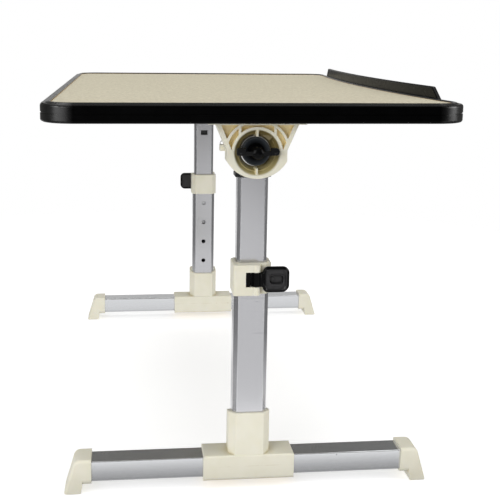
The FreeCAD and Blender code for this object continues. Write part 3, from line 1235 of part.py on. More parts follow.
def locking_ramp(side):
    """A ramp round the recess that ends in a tooth."""
    sector = doc.addObject("Part::Cylinder", f"{side}_ramp_sector")
    bind(sector, "Radius", "mouth_radius + ramp_gap")
    bind(sector, "Height", "recess_depth - ramp_step")
    bind(sector, "Angle", "ramp_sweep")
    sector.Placement = Placement(Vector(), Rotation(Vector(1, 0, 0), 90)
                                 * Rotation(Vector(0, 0, 1), value("ramp_start")))
    place(sector, 0, "recess_depth - ring_front", "pivot_height")
    inside = cylinder(f"{side}_ramp_inside", "floor_radius + ramp_gap", "ring_front",
                      (0, 0, "pivot_height"), (0, -1, 0))
    slab = doc.addObject("Part::Box", f"{side}_ramp_slab")
    bind(slab, "Length", "2 * ring_front")
    bind(slab, "Width", "ring_front")
    bind(slab, "Height", "2 * ring_front")
    reach = value("ring_front")
    crest = Placement(Vector(0, value("ramp_crest - ring_front"), value("pivot_height")),
                      Rotation(Vector(1, 0, 1), -value("ramp_slope")))
    slab.Placement = crest.multiply(Placement(Vector(-reach, -reach, -reach), Rotation()))
    return cut(f"{side}_ramp", sector, inside, slab)


def build_leg(side):
    build_foot(side)
    build_outer_tube(side)
    build_inner_tube(side)
    build_snap(side)
    build_collar(side)
    build_lever(side)
    build_head(side)
    build_knob(side)
    build_plunger(side)
    build_bracket(side)


def check_model():
    """Stop if anything in the document failed, or a sub-part is empty or broken."""
    for item in doc.Objects:
        if "Invalid" in item.State or "Error" in item.State:
            raise ValueError(f"{item.Name} failed: {item.State}")
    for node, item in NODES.items():
        if item.Shape.isNull() or not item.Shape.isValid() or not item.Shape.Solids:
            raise ValueError(f"{node} has no sound solid")


build_top()
for leg_side in LEGS:
    build_leg(leg_side)
doc.recompute()
check_model()

os.makedirs("parts", exist_ok=True)
for node_name, sub_part in NODES.items():
    sub_part.Shape.exportStep(f"parts/{node_name}.step")
    print(f"{node_name:26s} {len(sub_part.Shape.Solids)} solid(s) {sub_part.Shape.Volume / 1000:9.2f} cm3")
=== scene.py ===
import json
import math

import bmesh
import bpy
from mathutils import Matrix, Vector


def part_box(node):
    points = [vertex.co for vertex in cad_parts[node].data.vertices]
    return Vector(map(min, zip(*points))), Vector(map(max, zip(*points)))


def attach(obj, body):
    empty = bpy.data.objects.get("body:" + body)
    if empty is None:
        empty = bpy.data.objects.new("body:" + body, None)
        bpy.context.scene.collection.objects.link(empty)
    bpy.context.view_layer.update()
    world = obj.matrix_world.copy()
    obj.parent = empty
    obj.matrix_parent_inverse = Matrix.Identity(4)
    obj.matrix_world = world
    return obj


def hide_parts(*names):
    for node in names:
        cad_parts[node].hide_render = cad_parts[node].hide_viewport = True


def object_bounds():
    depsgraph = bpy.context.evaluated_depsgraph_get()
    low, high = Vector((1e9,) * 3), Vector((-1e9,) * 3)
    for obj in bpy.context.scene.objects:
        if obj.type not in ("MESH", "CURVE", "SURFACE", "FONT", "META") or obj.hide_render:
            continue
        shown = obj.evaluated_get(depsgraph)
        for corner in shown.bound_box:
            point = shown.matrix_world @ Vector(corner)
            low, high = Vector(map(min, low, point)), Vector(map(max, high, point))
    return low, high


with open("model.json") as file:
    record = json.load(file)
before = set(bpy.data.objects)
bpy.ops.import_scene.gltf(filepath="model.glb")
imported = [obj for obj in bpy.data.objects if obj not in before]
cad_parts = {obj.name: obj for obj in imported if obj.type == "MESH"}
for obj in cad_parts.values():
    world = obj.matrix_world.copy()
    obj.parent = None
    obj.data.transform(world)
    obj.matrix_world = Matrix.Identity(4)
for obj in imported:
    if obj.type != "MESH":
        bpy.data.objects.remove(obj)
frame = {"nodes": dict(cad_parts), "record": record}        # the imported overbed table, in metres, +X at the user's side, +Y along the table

CAD_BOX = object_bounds()
MM = 0.001
SIDES = ("left", "right")
SLOT_OF = {part["node"]: part["material_slot"] for part in frame["record"]["subparts"]}


# ---- materials --------------------------------------------------------------------------------

class Paint:
    """A node material, with short calls that add nodes and join them."""

    def __init__(self, name, **settings):
        self.material = bpy.data.materials.new(name)
        self.material.use_nodes = True
        self.tree = self.material.node_tree
        self.shader = self.tree.nodes["Principled BSDF"]
        for socket, value in settings.items():
            self.shader.inputs[socket.replace("_", " ")].default_value = value
        self.place = self.add("ShaderNodeTexCoord").outputs["Object"]

    def add(self, kind, links=None, **settings):
        """A node with its properties set and its inputs set or joined."""
        node = self.tree.nodes.new(kind)
        for name, value in settings.items():
            setattr(node, name, value)
        for socket, value in (links or {}).items():
            if isinstance(value, bpy.types.NodeSocket):
                self.tree.links.new(value, node.inputs[socket])
            else:
                node.inputs[socket].default_value = value
        return node

    def stretched(self, x, y, z):
        """The object's own coordinates, scaled along each axis."""
        node = self.add("ShaderNodeMapping", {"Vector": self.place, "Scale": (x, y, z)})
        return node.outputs["Vector"]

    def noise(self, size, where=None, detail=3.0, rough=0.55):
        """Noise whose features are about as large as size, in metres."""
        node = self.add("ShaderNodeTexNoise", {"Vector": where or self.place, "Scale": 1 / size,
                                               "Detail": detail, "Roughness": rough})
        return node.outputs["Fac"]

    def spread(self, value, low, high, out_low, out_high):
        """A value taken from one range to another, and held at its ends."""
        node = self.add("ShaderNodeMapRange", {"Value": value, "From Min": low, "From Max": high,
                                               "To Min": out_low, "To Max": out_high})
        return node.outputs["Result"]

    def combine(self, operation, first, second=0.0):
        """One of Blender's own operations on two values, by its name."""
        return self.add("ShaderNodeMath", {0: first, 1: second}, operation=operation).outputs[0]

    def plus(self, first, second):
        return self.combine("ADD", first, second)

    def minus(self, first, second):
        return self.combine("SUBTRACT", first, second)

    def times(self, first, second):
        return self.combine("MULTIPLY", first, second)

    def unsigned(self, value):
        return self.combine("ABSOLUTE", value)

    def mix(self, share, first, second, blend="MIX"):
        """One colour turning into another; each is a colour or another mix."""
        node = self.add("ShaderNodeMix", data_type="RGBA", blend_type=blend)
        for index, value in ((0, share), (6, first), (7, second)):
            if isinstance(value, bpy.types.NodeSocket):
                self.tree.links.new(value, node.inputs[index])
            else:
                node.inputs[index].default_value = value
        return node.outputs[2]

    def drive(self, socket, value):
        """Let a value that changes over the surface set one of the shader's sockets."""
        self.tree.links.new(value, self.shader.inputs[socket])

    def colour(self, value):
        self.drive("Base Color", value)

    def roughness(self, value):
        self.drive("Roughness", value)

    def relief(self, height, depth, strength=1.0, eased=0.0):
        """Bump of a real depth, in metres; eased softens the sharp edges under it."""
        node = self.add("ShaderNodeBump", {"Height": height, "Distance": depth, "Strength": strength})
        if eased:
            edges = self.add("ShaderNodeBevel", {"Radius": eased}, samples=4)
            self.tree.links.new(edges.outputs["Normal"], node.inputs["Normal"])
        self.drive("Normal", node.outputs["Normal"])

    def axis(self, name):
        """One of the object's own coordinates, in metres."""
        return self.add("ShaderNodeSeparateXYZ", {"Vector": self.place}).outputs[name]

    def near(self, value, centre, half):
        """1 where the value is at the centre, falling to 0 half away from it."""
        gap = self.unsigned(self.minus(value, centre))
        return self.spread(gap, 0.0, half, 1.0, 0.0)

    def about(self, level):
        """How far a point stands above level, and how far out from the line along Y at that level."""
        rise, across = self.minus(self.axis("Z"), level), self.axis("X")
        squares = self.plus(self.times(rise, rise), self.times(across, across))
        return rise, self.combine("SQRT", squares)

    def shelter(self, distance, **settings):
        """1 in the open, falling towards 0 in hollows narrower than distance."""
        node = self.add("ShaderNodeAmbientOcclusion", {"Distance": distance}, samples=8, **settings)
        return node.outputs["AO"]


def rgb(red, green, blue):
    return (red, green, blue, 1.0)


def beige_laminate():
    """Pressed leather grain: soft creases a few millimetres apart over fine pores."""
    paint = Paint("beige_laminate", Roughness=0.6, Specular_IOR_Level=0.25)
    bend = paint.add("ShaderNodeTexNoise", {"Vector": paint.place, "Scale": 170.0, "Detail": 2.0})
    shift = paint.add("ShaderNodeVectorMath", {0: bend.outputs["Color"], "Scale": 0.006}, operation="SCALE")
    bent = paint.add("ShaderNodeVectorMath", {0: paint.place, 1: shift.outputs[0]}, operation="ADD")
    cells = paint.add("ShaderNodeTexVoronoi", {"Vector": bent.outputs[0], "Scale": 1 / 0.003},
                      feature="SMOOTH_F1")
    folds = paint.noise(0.0026, bent.outputs[0], detail=2.0, rough=0.5)
    pores = paint.noise(0.0006, detail=3.0, rough=0.6)
    crest = paint.plus(paint.times(cells.outputs["Distance"], 0.5), folds)
    height = paint.plus(crest, paint.times(pores, 0.12))
    valley, ridge = rgb(0.545, 0.50, 0.375), rgb(0.72, 0.67, 0.52)
    ground = paint.mix(paint.spread(crest, 0.55, 1.0, 0.0, 1.0), valley, ridge)
    clouds = paint.spread(paint.noise(0.03), 0.35, 0.65, 0.0, 0.22)
    paint.colour(paint.mix(clouds, ground, rgb(0.57, 0.525, 0.40)))
    paint.roughness(paint.spread(pores, 0.3, 0.7, 0.54, 0.68))
    paint.relief(height, 0.0006, 1.0)
    return paint.material


def board_core():
    """Pressed wood chips."""
    paint = Paint("board_core", Roughness=0.85)
    chips = paint.noise(0.003, detail=5.0, rough=0.7)
    dark, light = rgb(0.30, 0.20, 0.11), rgb(0.62, 0.47, 0.30)
    paint.colour(paint.mix(paint.spread(chips, 0.35, 0.65, 0.0, 1.0), dark, light))
    paint.relief(chips, 0.0003)
    return paint.material


def backing_paper():
    """Grey-brown balancing sheet with fibres and soft blotches."""
    paint = Paint("backing_paper", Roughness=0.7, Specular_IOR_Level=0.3)
    fibres = paint.noise(0.0012, paint.stretched(1, 0.12, 1), detail=4.0, rough=0.65)
    blotches = paint.noise(0.04, detail=3.0)
    dark, light = rgb(0.25, 0.235, 0.195), rgb(0.29, 0.275, 0.23)
    tone = paint.mix(paint.spread(blotches, 0.35, 0.65, 0.0, 1.0), dark, light)
    paint.colour(paint.mix(paint.spread(fibres, 0.4, 0.7, 0.0, 0.35), tone, rgb(0.20, 0.185, 0.15)))
    paint.roughness(paint.spread(fibres, 0.3, 0.7, 0.62, 0.8))
    paint.relief(fibres, 0.00006)
    return paint.material


def soft_black(name, plain, corner_highlight):
    """Soft black moulding: dull along its runs, with a painted highlight that raises its shine round the
    top's corners.
    """
    paint = Paint(name, Roughness=0.3)
    flow = paint.noise(0.006, detail=2.0)
    dust = paint.spread(paint.noise(0.02, detail=4.0, rough=0.6), 0.5, 0.75, 0.0, 1.0)
    paint.colour(paint.mix(dust, rgb(0.0004, 0.0004, 0.0005), rgb(0.001, 0.001, 0.0011)))
    paint.roughness(paint.plus(paint.spread(flow, 0.3, 0.7, 0.26, 0.32), paint.times(dust, 0.05)))
    # painted highlight: the shine rises near the top's left and right ends, round its corners
    out = paint.unsigned(paint.axis("X"))
    rub_and_sheen = paint.spread(out, CAD_BOX[1].x - 0.03, CAD_BOX[1].x - 0.016, plain, corner_highlight)
    paint.drive("Specular IOR Level", rub_and_sheen)
    paint.relief(flow, 0.00003)
    return paint.material


def bumper_black():
    return soft_black("bumper_black", 0.05, 0.7)


def lip_black():
    return soft_black("lip_black", 0.06, 0.1)


def cream(name, painted_hollow_colour, reach):
    """Moulded cream nylon: flow marks, fine pitting, soft edges, and painted light and shade that give
    occluded hollows the hollow colour.
    """
    paint = Paint(name, Roughness=0.42, Subsurface_Weight=0.1, Subsurface_Scale=0.003,
                  Subsurface_Radius=(1.0, 0.8, 0.45), Specular_IOR_Level=0.4)
    flow = paint.noise(0.02, detail=2.0)
    pitting = paint.noise(0.0006, detail=3.0, rough=0.6)
    # painted light and shade: occluded hollows take the hollow colour
    shade = paint.spread(paint.shelter(reach, only_local=True), 0.2, 0.85, 1.0, 0.0)
    plain = paint.mix(paint.spread(flow, 0.35, 0.65, 0.0, 1.0), rgb(0.80, 0.77, 0.63), rgb(0.83, 0.80, 0.675))
    paint.roughness(paint.spread(pitting, 0.3, 0.7, 0.36, 0.48))
    paint.relief(pitting, 0.00003, 1.0, 0.0007)
    return paint, paint.mix(shade, plain, painted_hollow_colour)


def cream_plastic():
    paint, colour = cream("cream_plastic", rgb(0.55, 0.46, 0.22), 0.012)
    paint.colour(colour)
    return paint.material


def pivot_level():
    """Height of the tilt axis, in metres."""
    low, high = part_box("left_knob_washer")
    return (low.z + high.z) / 2


def cream_bracket():
    """The tilt bracket's plastic: painted bounce light makes its pockets light yellow, and painted shade
    makes the recess olive, darker towards its top.
    """
    # painted light: occluded pockets are brightened to a light yellow
    paint, colour = cream("cream_bracket", rgb(0.93, 0.80, 0.47), 0.016)
    face = -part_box("left_tilt_bracket")[0].y
    rise, out = paint.about(pivot_level())
    depth = paint.minus(face, paint.unsigned(paint.axis("Y")))
    within_mouth = paint.spread(out, 0.0203, 0.0212, 1.0, 0.0)
    behind_rim = paint.spread(depth, 0.0003, 0.0018, 0.0, 0.96)
    beside_rib = paint.spread(paint.unsigned(paint.axis("X")), 0.0015, 0.0018, 0.15, 1.0)
    # painted shade: the recess is olive, darker towards its top, where less light reaches
    lit_olive, shaded_olive = rgb(0.44, 0.37, 0.155), rgb(0.13, 0.092, 0.014)
    painted_recess_shade = paint.mix(paint.spread(rise, -0.02, 0.004, 0.0, 1.0), lit_olive, shaded_olive)
    recess = paint.times(paint.times(within_mouth, behind_rim), beside_rib)
    paint.colour(paint.mix(recess, colour, painted_recess_shade))
    return paint.material


def cream_tee():
    """The tee's plastic: a faint parting line with brown scorch marks, and a darker, yellower band along its
    lowest edge.
    """
    paint, colour = cream("cream_tee", rgb(0.55, 0.46, 0.22), 0.012)
    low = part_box("left_tee_connector")[0]
    level = low.z + 0.015
    line = paint.near(paint.axis("Z"), level, 0.00035)
    broken = paint.spread(paint.noise(0.012, paint.stretched(1, 1, 0.01)), 0.45, 0.6, 0.0, 0.5)
    marked = paint.mix(paint.times(line, broken), colour, rgb(0.55, 0.47, 0.3))
    spots = paint.spread(paint.noise(0.009, paint.stretched(1, 1, 0.01), detail=1.0), 0.68, 0.72, 0.0, 0.9)
    wide = paint.near(paint.axis("Z"), level, 0.0009)
    scorched = paint.mix(paint.times(wide, spots), marked, rgb(0.35, 0.22, 0.07))
    # a darker, yellower band along the lowest two millimetres
    foot = paint.spread(paint.axis("Z"), low.z + 0.0002, low.z + 0.0018, 0.85, 0.0)
    paint.colour(paint.mix(foot, scorched, rgb(0.58, 0.42, 0.16)))
    return paint.material


def black_plastic():
    """Moulded black nylon with a fine spark-eroded texture, rubbed smoother patches, and painted shade that
    dims its shine in hollows, leaving the crests shinier.
    """
    paint = Paint("black_plastic", Roughness=0.3, Specular_IOR_Level=0.6)
    grain = paint.noise(0.0005, detail=3.0, rough=0.7)
    rub_and_sheen = paint.spread(paint.noise(0.008, detail=4.0), 0.45, 0.65, 0.0, 1.0)
    # painted shade: occlusion dims the shine in hollows, so creases read dark
    shine = paint.spread(paint.shelter(0.004, only_local=True), 0.45, 0.95, 0.05, 0.6)
    paint.drive("Specular IOR Level", shine)
    paint.colour(paint.mix(rub_and_sheen, rgb(0.004, 0.004, 0.0045), rgb(0.007, 0.007, 0.008)))
    paint.roughness(paint.spread(rub_and_sheen, 0.0, 1.0, 0.32, 0.24))
    paint.relief(grain, 0.00003, 0.6, 0.0004)
    return paint.material


def smooth_black(name, shine):
    """The knob's smooth, very dark plastic."""
    paint = Paint(name, Roughness=0.22, Specular_IOR_Level=shine)
    wear = paint.noise(0.002, detail=3.0)
    paint.colour(paint.mix(wear, rgb(0.001, 0.001, 0.001), rgb(0.003, 0.003, 0.0035)))
    paint.relief(wear, 0.00002, 0.5)
    return paint.material


def knob_slate():
    """The knob's blue-black plastic, with a painted sheen near its rim and painted shade that darkens it
    towards the hub.
    """
    paint = Paint("knob_slate", Roughness=0.32)
    # painted shade and sheen: black towards the hub, slate and shinier towards the rim
    rim = paint.spread(paint.about(pivot_level())[1], 0.0072, 0.0115, 0.0, 1.0)
    grain = paint.noise(0.0006, detail=3.0, rough=0.7)
    dark, light = rgb(0.026, 0.031, 0.036), rgb(0.04, 0.046, 0.053)
    slate = paint.mix(paint.spread(grain, 0.35, 0.65, 0.0, 1.0), dark, light)
    paint.colour(paint.mix(rim, rgb(0.001, 0.001, 0.0012), slate))
    paint.drive("Specular IOR Level", paint.spread(rim, 0.0, 1.0, 0.05, 0.5))
    paint.roughness(paint.spread(grain, 0.3, 0.7, 0.28, 0.38))
    paint.relief(grain, 0.00003, 0.5)
    return paint.material


def lever_black(side, centre, half):
    """The lever's plastic: painted light makes the paddle's face greyer and shinier, and painted shade keeps
    its rim and arm dark.
    """
    paint = Paint(f"{side}_lever_black", Roughness=0.28)
    across = paint.unsigned(paint.minus(paint.axis("X"), centre.x))
    up = paint.unsigned(paint.minus(paint.axis("Z"), centre.z))
    gap = paint.minus(half, paint.combine("MAXIMUM", across, up))
    shelter = paint.shelter(0.003, only_local=True)
    # painted light and shade: greyer and shinier inside the paddle's rim, dark on the rim, the arm and in
    # hollows
    painted_face_light = paint.times(paint.spread(gap, 0.0018, 0.0034, 0.0, 1.0),
                     paint.spread(shelter, 0.6, 0.95, 0.0, 1.0))
    grain = paint.noise(0.0005, detail=3.0, rough=0.7)
    rub_and_sheen = paint.spread(paint.noise(0.006, detail=3.0), 0.4, 0.65, 0.5, 1.0)
    plain, grey = rgb(0.0015, 0.0015, 0.0018), rgb(0.021, 0.02, 0.022)
    paint.colour(paint.mix(paint.times(painted_face_light, rub_and_sheen), plain, grey))
    paint.drive("Specular IOR Level", paint.spread(painted_face_light, 0.0, 1.0, 0.1, 0.5))
    paint.relief(grain, 0.00003, 0.6)
    return paint.material


def anodised(name, tone, along, rough, rubbing):
    """Satin anodised extrusion: fine speckle, faint draw lines along one axis, a few dark nicks, and painted
    shade in hollows and where parts meet.
    """
    paint = Paint(name, Metallic=1.0, Roughness=rough)
    squeeze = [1.0, 1.0, 1.0]
    squeeze[along] = 0.02
    lines = paint.noise(0.0012, paint.stretched(*squeeze), detail=2.0, rough=0.5)
    speckle = paint.noise(0.0009, detail=3.0, rough=0.7)
    grain = paint.plus(paint.times(lines, 0.1), paint.times(speckle, 0.9))
    dark = tuple(channel * 0.93 for channel in tone)
    satin = paint.mix(paint.spread(grain, 0.36, 0.64, 0.0, 1.0), rgb(*dark), rgb(*tone))
    squeeze[along] = 1.6
    nicks = paint.spread(paint.noise(0.0045, paint.stretched(*squeeze), detail=2.0), 0.765, 0.785, 0.0, 0.7)
    # painted shade: dark brown in holes, hollows and where parts meet
    occlusion_shade = paint.spread(paint.shelter(0.014), 0.15, 0.6, 0.9, 0.0)
    shaded = paint.mix(occlusion_shade, satin, rgb(0.06, 0.055, 0.045))
    flat = [0.05, 0.05, 0.05]
    flat[along] = 1.0
    rubs = paint.spread(paint.noise(0.004, paint.stretched(*flat), detail=1.0), 0.70, 0.73, 0.0, rubbing)
    rub_and_sheen = paint.mix(rubs, shaded, rgb(0.3, 0.3, 0.31))
    paint.colour(paint.mix(nicks, rub_and_sheen, rgb(0.16, 0.15, 0.15)))
    paint.roughness(paint.spread(grain, 0.35, 0.65, rough - 0.02, rough + 0.02))
    paint.relief(grain, 0.000003, 0.3)
    return paint.material


def aluminium_tube():
    return anodised("aluminium_tube", (0.70, 0.70, 0.725), 2, 0.24, 0.1)


def aluminium_bar():
    return anodised("aluminium_bar", (0.76, 0.77, 0.79), 0, 0.24, 0.0)


def zinc_steel():
    """Zinc plated steel with mottled crystals."""
    paint = Paint("zinc_steel", Metallic=1.0, Roughness=0.3)
    crystals = paint.noise(0.0015, detail=4.0, rough=0.6)
    dark, light = rgb(0.48, 0.48, 0.5), rgb(0.66, 0.66, 0.67)
    paint.colour(paint.mix(paint.spread(crystals, 0.35, 0.65, 0.0, 1.0), dark, light))
    paint.roughness(paint.spread(crystals, 0.3, 0.7, 0.22, 0.38))
    paint.relief(crystals, 0.00003)
    return paint.material


def bright_washer():
    """Polished washer with turning marks."""
    paint = Paint("bright_washer", Metallic=1.0, Roughness=0.16)
    marks = paint.noise(0.0008, detail=3.0)
    paint.colour(paint.mix(paint.spread(marks, 0.35, 0.65, 0.0, 1.0), rgb(0.8, 0.8, 0.8), rgb(0.9, 0.9, 0.9)))
    paint.roughness(paint.spread(marks, 0.3, 0.7, 0.12, 0.22))
    return paint.material


def foot_rubber():
    """Grey moulded rubber, dusty and pitted."""
    paint = Paint("foot_rubber", Roughness=0.8, Specular_IOR_Level=0.3)
    dust = paint.noise(0.003, detail=5.0, rough=0.7)
    clean, dusty = rgb(0.27, 0.265, 0.24), rgb(0.4, 0.39, 0.35)
    paint.colour(paint.mix(paint.spread(dust, 0.4, 0.65, 0.0, 1.0), clean, dusty))
    paint.roughness(paint.spread(dust, 0.3, 0.7, 0.7, 0.9))
    paint.relief(dust, 0.0001)
    return paint.material


FINISHES = {build.__name__: build() for build in (
    beige_laminate, board_core, backing_paper, bumper_black, cream_plastic, black_plastic, aluminium_tube,
    aluminium_bar, zinc_steel, bright_washer, foot_rubber)}


OWN_FINISH = {"tilt_bracket": cream_bracket(), "tee_connector": cream_tee(), "lip": lip_black()}


def finish_node(node):
    """Give a CAD node the finish of its slot, or its own version of it."""
    item = frame["nodes"][node]
    finish = OWN_FINISH.get(node.split("_", 1)[-1], FINISHES[SLOT_OF[node]])
    if not item.material_slots:
        item.data.materials.append(finish)
    for slot in item.material_slots:
        slot.material = finish


for node_name in frame["nodes"]:
    finish_node(node_name)


# ---- pieces -----------------------------------------------------------------------------------
# Leg pieces are drawn in millimetres about the left post's axis, outer face towards -Y, and then
# taken to their own leg: the right leg is the left one turned half a turn about Z.

def leg_frame(side):
    """The move from a leg piece's own millimetres to the table's metres."""
    low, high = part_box(f"{side}_inner_tube")
    post = Matrix.Translation(((low.x + high.x) / 2, (low.y + high.y) / 2, 0))
    turn = Matrix.Rotation(math.radians(0 if side == "left" else 180), 4, "Z")
    return post @ turn @ Matrix.Scale(MM, 4)


def leg_box(side, node):
    """A leg node's lowest and highest corners in the leg piece's own millimetres."""
    back = leg_frame(side).inverted()
    corners = [back @ Vector(corner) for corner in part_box(f"{side}_{node}")]
    low = Vector([min(corner[axis] for corner in corners) for axis in range(3)])
    high = Vector([max(corner[axis] for corner in corners) for axis in range(3)])
    return low, high


def make_piece(name, shape, finish, body, replaced=(), move=None):
    """Turn a bmesh into a piece of the table that rides on a body."""
    bmesh.ops.remove_doubles(shape, verts=shape.verts, dist=1e-4 if move else 1e-7)
    bmesh.ops.recalc_face_normals(shape, faces=shape.faces)
    mesh = bpy.data.meshes.new(name)
    shape.to_mesh(mesh)
    shape.free()
    if move:
        mesh.transform(move)
    mesh.shade_smooth()
    mesh.set_sharp_from_angle(angle=math.radians(40))
    mesh.materials.append(finish)
    piece = bpy.data.objects.new(name, mesh)
    bpy.context.scene.collection.objects.link(piece)
    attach(piece, body)
    if replaced:
        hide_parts(*replaced)
    return piece


def soften(piece, width, segments=3):
    """Round the piece's sharp edges."""
    bevel = piece.modifiers.new("soften", "BEVEL")
    bevel.width = width
    bevel.segments = segments
    bevel.limit_method = "ANGLE"
    bevel.angle_limit = math.radians(40)
    bevel.harden_normals = True
    return piece


def rounded_outline(corners, steps=8):
    """A closed outline through corners, each given as x, y and its rounding radius."""
    outline = []
    for number, (x, y, radius) in enumerate(corners):
        here = Vector((x, y))
        before = (Vector(corners[number - 1][:2]) - here).normalized()
        after = (Vector(corners[(number + 1) % len(corners)][:2]) - here).normalized()
        half = before.angle(after) / 2
        middle = here + (before + after).normalized() * (radius / math.sin(half))
        start = here + before * (radius / math.tan(half)) - middle
        end = here + after * (radius / math.tan(half)) - middle
        sweep = start.angle_signed(end)
        for step in range(steps + 1):
            spoke = start.copy()
            spoke.rotate(Matrix.Rotation(-sweep * step / steps, 2))
            outline.append(middle + spoke)
    return outline


def skin(shape, loops, closed_ends=True):
    """Join rings of points, each with as many points, into a surface."""
    rings = [[shape.verts.new(point) for point in loop] for loop in loops]
    count = len(rings[0])
    for first, second in zip(rings, rings[1:]):
        for step in range(count):
            after = (step + 1) % count
            shape.faces.new((first[step], first[after], second[after], second[step]))
    if closed_ends:
        shape.faces.new(rings[0])
        shape.faces.new(rings[-1])


def turned(shape, profile, centre, steps=72):
    """A shape turned about the Y axis through centre, from pairs of radius and Y."""
    loops = []
    for radius, y in profile:
        turns = [2 * math.pi * step / steps for step in range(steps)]
        loops.append([(centre[0] + radius * math.cos(turn), y, centre[1] + radius * math.sin(turn))
                      for turn in turns])
    skin(shape, loops)


def ease(value):
    """0 to 1 with level ends."""
    value = min(max(value, 0.0), 1.0)
    return value * value * (3 - 2 * value)


KNOB_RIM = 12.9          # all in millimetres
KNOB_HUB = 6.0
WASHER_HOLE = 4.3
WASHER_RIM = 14.25
WING_HALF = 19.1
WING_BAR = 1.9           # half the bar's height
WING_BLOCK = (-1.9, 4.9)     # the end blocks' foot and head, from the axis
BLOCK_LONG = 8.0
PIP_LEVEL = 0.2


def make_knob(side):
    """Dished disc with a domed hub and a winged bar; the bar's end blocks stand up and carry a pip each."""
    low, high = leg_box(side, "knob_washer")
    back, level = low.y, (low.z + high.z) / 2
    shape = bmesh.new()
    face = back - 4.2
    disc = [(4.2, back), (KNOB_RIM - 0.8, back), (KNOB_RIM - 0.2, back - 0.3), (KNOB_RIM, back - 0.9),
            (KNOB_RIM, face + 0.7), (KNOB_RIM - 0.2, face + 0.2), (KNOB_RIM - 0.7, face),
            (KNOB_RIM - 1.4, face + 0.15), (KNOB_RIM - 2.2, face + 0.8), (KNOB_RIM - 4.5, face + 1.6),
            (KNOB_HUB + 0.9, face + 1.9), (KNOB_HUB + 0.3, face + 1.7), (KNOB_HUB, face + 1.0)]
    front = leg_box(side, "lock_knob")[0].y + 1.1
    hub = [(KNOB_HUB, face + 2.4), (KNOB_HUB - 0.5, front + 2.2), (KNOB_HUB - 1.6, front + 0.9),
            (KNOB_HUB - 3.4, front + 0.2), (0.02, front)]
    turned(shape, disc + [(0.02, face + 1.0)], (0, level))
    body = f"{side}_knob"
    make_piece(f"{side}_knob_disc", shape, KNOB_SLATE, body,
               [f"{side}_lock_knob"], leg_frame(side))

    dome = bmesh.new()
    turned(dome, hub, (0, level))
    make_piece(f"{side}_knob_hub", dome, HUB_BLACK, body, move=leg_frame(side))

    washer = bmesh.new()
    turned(washer, [(WASHER_HOLE, high.y), (WASHER_RIM - 0.25, high.y), (WASHER_RIM, high.y - 0.25),
                    (WASHER_RIM, low.y + 0.3), (WASHER_RIM - 0.35, low.y + 0.05),
                    (WASHER_RIM - 1.05, low.y + 0.02), (WASHER_HOLE, low.y + 0.02)], (0, level))
    make_piece(f"{side}_bright_washer", washer, FINISHES["bright_washer"], body,
               [f"{side}_knob_washer"], leg_frame(side))

    wing = bmesh.new()
    bar_front = front + 1.2
    bar_back = min(bar_front + 4.6, leg_box(side, "pivot_bolt")[0].y - 0.3)
    bar = rounded_outline([(-WING_HALF + 2, -WING_BAR, 0.5), (WING_HALF - 2, -WING_BAR, 0.5),
                           (WING_HALF - 2, WING_BAR, 0.5), (-WING_HALF + 2, WING_BAR, 0.5)], 3)
    skin(wing, [[(x, y, level + z) for x, z in bar] for y in (bar_back, bar_front)])
    foot, head = WING_BLOCK
    for direction, far_round in ((-1, 1.2), (1, 3.0)):
        near_x, far_x = direction * (WING_HALF - BLOCK_LONG), direction * WING_HALF
        corners = [(near_x, foot, 0.5), (far_x, foot, far_round), (far_x, head, far_round),
                   (near_x, head, 0.9)]
        block = rounded_outline(corners if direction > 0 else corners[::-1], 5)
        loops = []
        for y, shrink in ((bar_back, 0.0), (bar_front + 0.4, 0.0), (bar_front - 0.3, 0.12)):
            middle = Vector(((near_x + far_x) / 2, (foot + head) / 2))
            loops.append([(middle.x + (point.x - middle.x) * (1 - shrink), y,
                           level + middle.y + (point.y - middle.y) * (1 - shrink)) for point in block])
        skin(wing, loops)
        pip = [(1.5, bar_front - 0.2), (1.5, bar_front - 0.5), (1.15, bar_front - 0.55),
               (0.95, bar_front - 0.35), (0.6, bar_front - 0.75), (0.02, bar_front - 0.95)]
        turned(wing, pip, (direction * (WING_HALF - 3.6), level + PIP_LEVEL), 24)
    soften(make_piece(f"{side}_knob_wing", wing, WING_BLACK, body,
                      move=leg_frame(side)), 0.0004)


LEVER_RIM = 2.6          # raised edge of the paddle
LEVER_DISH = 1.1
LEVER_CREST = -20.8      # foremost face of the paddle
LEVER_PIN = (3.2, -16.5)
ARM_HALF = 6.4
CAM_RADIUS = 4.5
CAM_RIBS = (200, 240, 290)   # degrees round the cam
PILL_HALF = 3.3          # straight half length of the thumb dent
PILL_RADIUS = 3.8
PILL_DEEP = 1.9


def paddle_depth(x, z, gap):
    """How far the paddle's face lies behind its crest, at a point gap inside its outline."""
    edge = 2.1
    fall = edge - math.sqrt(max(edge * edge - max(edge - gap, 0.0) ** 2, 0.0))
    rim = LEVER_RIM + 1.4 * ease((x - 2) / 8)
    dish = LEVER_DISH * ease((gap - rim + 0.6) / 1.2) + 0.25 * ease((gap - rim) / 8)
    from_pill = math.hypot(max(abs(x) - PILL_HALF, 0.0), z) - PILL_RADIUS
    dent = PILL_DEEP * ease(0.5 - from_pill) - 0.35 * ease(1 - abs(from_pill - 1.0) / 0.9)
    return fall + dish + dent


